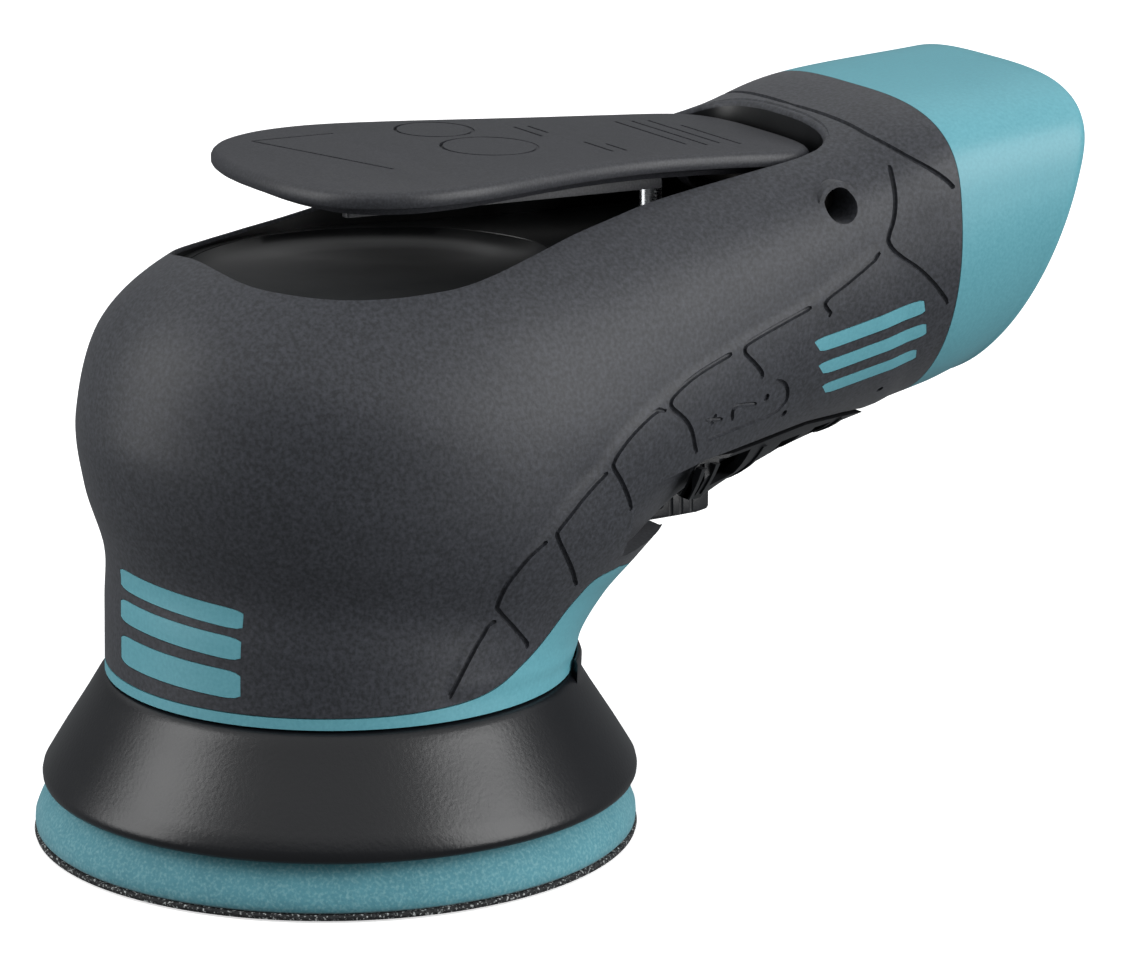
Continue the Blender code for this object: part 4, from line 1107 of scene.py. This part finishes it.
# Polyurethane foam with a moulded skin: teal, quite matt, with open pores of
# about 0.4 mm and pale dust caught in them.
urethane_foam = bpy.data.materials.new("polyurethane_foam")
urethane_foam.use_nodes = True
shader = urethane_foam.node_tree.nodes["Principled BSDF"]
shader.inputs["Roughness"].default_value = 0.8
shader.inputs["Sheen Weight"].default_value = 0.15
place = add_node(urethane_foam, "ShaderNodeTexCoord")
pores = add_node(urethane_foam, "ShaderNodeTexVoronoi",
                 {"Vector": place.outputs["Object"], "Scale": 1.0 / 0.0007})
cloud = add_node(urethane_foam, "ShaderNodeTexNoise",
                 {"Vector": place.outputs["Object"], "Scale": 1.0 / 0.004, "Detail": 5.0})
fleck = add_node(urethane_foam, "ShaderNodeTexNoise",
                 {"Vector": place.outputs["Object"], "Scale": 1.0 / 0.0004, "Detail": 3.0})
tone = add_node(urethane_foam, "ShaderNodeMix",
                {0: cloud.outputs["Fac"], 6: paint("#4a8794"), 7: paint("#5a9ba8")},
                data_type="RGBA")
dust = add_node(urethane_foam, "ShaderNodeMapRange",
                {"Value": fleck.outputs["Fac"], "From Min": 0.45, "From Max": 0.80, "To Max": 0.7})
shade = add_node(urethane_foam, "ShaderNodeMix",
                 {0: dust.outputs["Result"], 6: tone.outputs[2], 7: paint("#8cbcc2")},
                 data_type="RGBA")
relief = add_node(urethane_foam, "ShaderNodeBump",
                  {"Height": pores.outputs["Distance"], "Strength": 0.5, "Distance": 0.00010})
urethane_foam.node_tree.links.new(shade.outputs[2], shader.inputs["Base Color"])
urethane_foam.node_tree.links.new(relief.outputs["Normal"], shader.inputs["Normal"])
fitted(foam, "pad", "teal_foam", urethane_foam, "pad_foam")

face = spun("hook_face", (
    (0.0, 0.0), (0.0376, 0.0), (0.0379, 0.0001), (0.0380, 0.0004), (0.0379, 0.0007),
    (0.0377, 0.0008), (0.0, 0.0008)), PAD_CENTRE, 180)
smoothed(face, 50.0)

# Woven nylon with cut loops: black, with stiff hooks about 0.8 mm apart and
# pale sanding dust caught among them.
hook_fabric = bpy.data.materials.new("nylon_hook_fabric")
hook_fabric.use_nodes = True
shader = hook_fabric.node_tree.nodes["Principled BSDF"]
shader.inputs["Roughness"].default_value = 0.75
place = add_node(hook_fabric, "ShaderNodeTexCoord")
hooks = add_node(hook_fabric, "ShaderNodeTexVoronoi",
                 {"Vector": place.outputs["Object"], "Scale": 1.0 / 0.0008, "Randomness": 0.45})
fleck = add_node(hook_fabric, "ShaderNodeTexNoise",
                 {"Vector": place.outputs["Object"], "Scale": 1.0 / 0.00035, "Detail": 4.0})
dust = add_node(hook_fabric, "ShaderNodeMapRange",
                {"Value": fleck.outputs["Fac"], "From Min": 0.56, "From Max": 0.66})
tone = add_node(hook_fabric, "ShaderNodeMix",
                {0: dust.outputs["Result"], 6: paint("#1c1d1f"), 7: paint("#b9bdbc")},
                data_type="RGBA")
relief = add_node(hook_fabric, "ShaderNodeBump",
                  {"Height": hooks.outputs["Distance"], "Strength": 1.0, "Distance": 0.0003})
hook_fabric.node_tree.links.new(tone.outputs[2], shader.inputs["Base Color"])
hook_fabric.node_tree.links.new(relief.outputs["Normal"], shader.inputs["Normal"])
fitted(face, "pad", "hook_fabric", hook_fabric, "pad_face")


low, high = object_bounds()
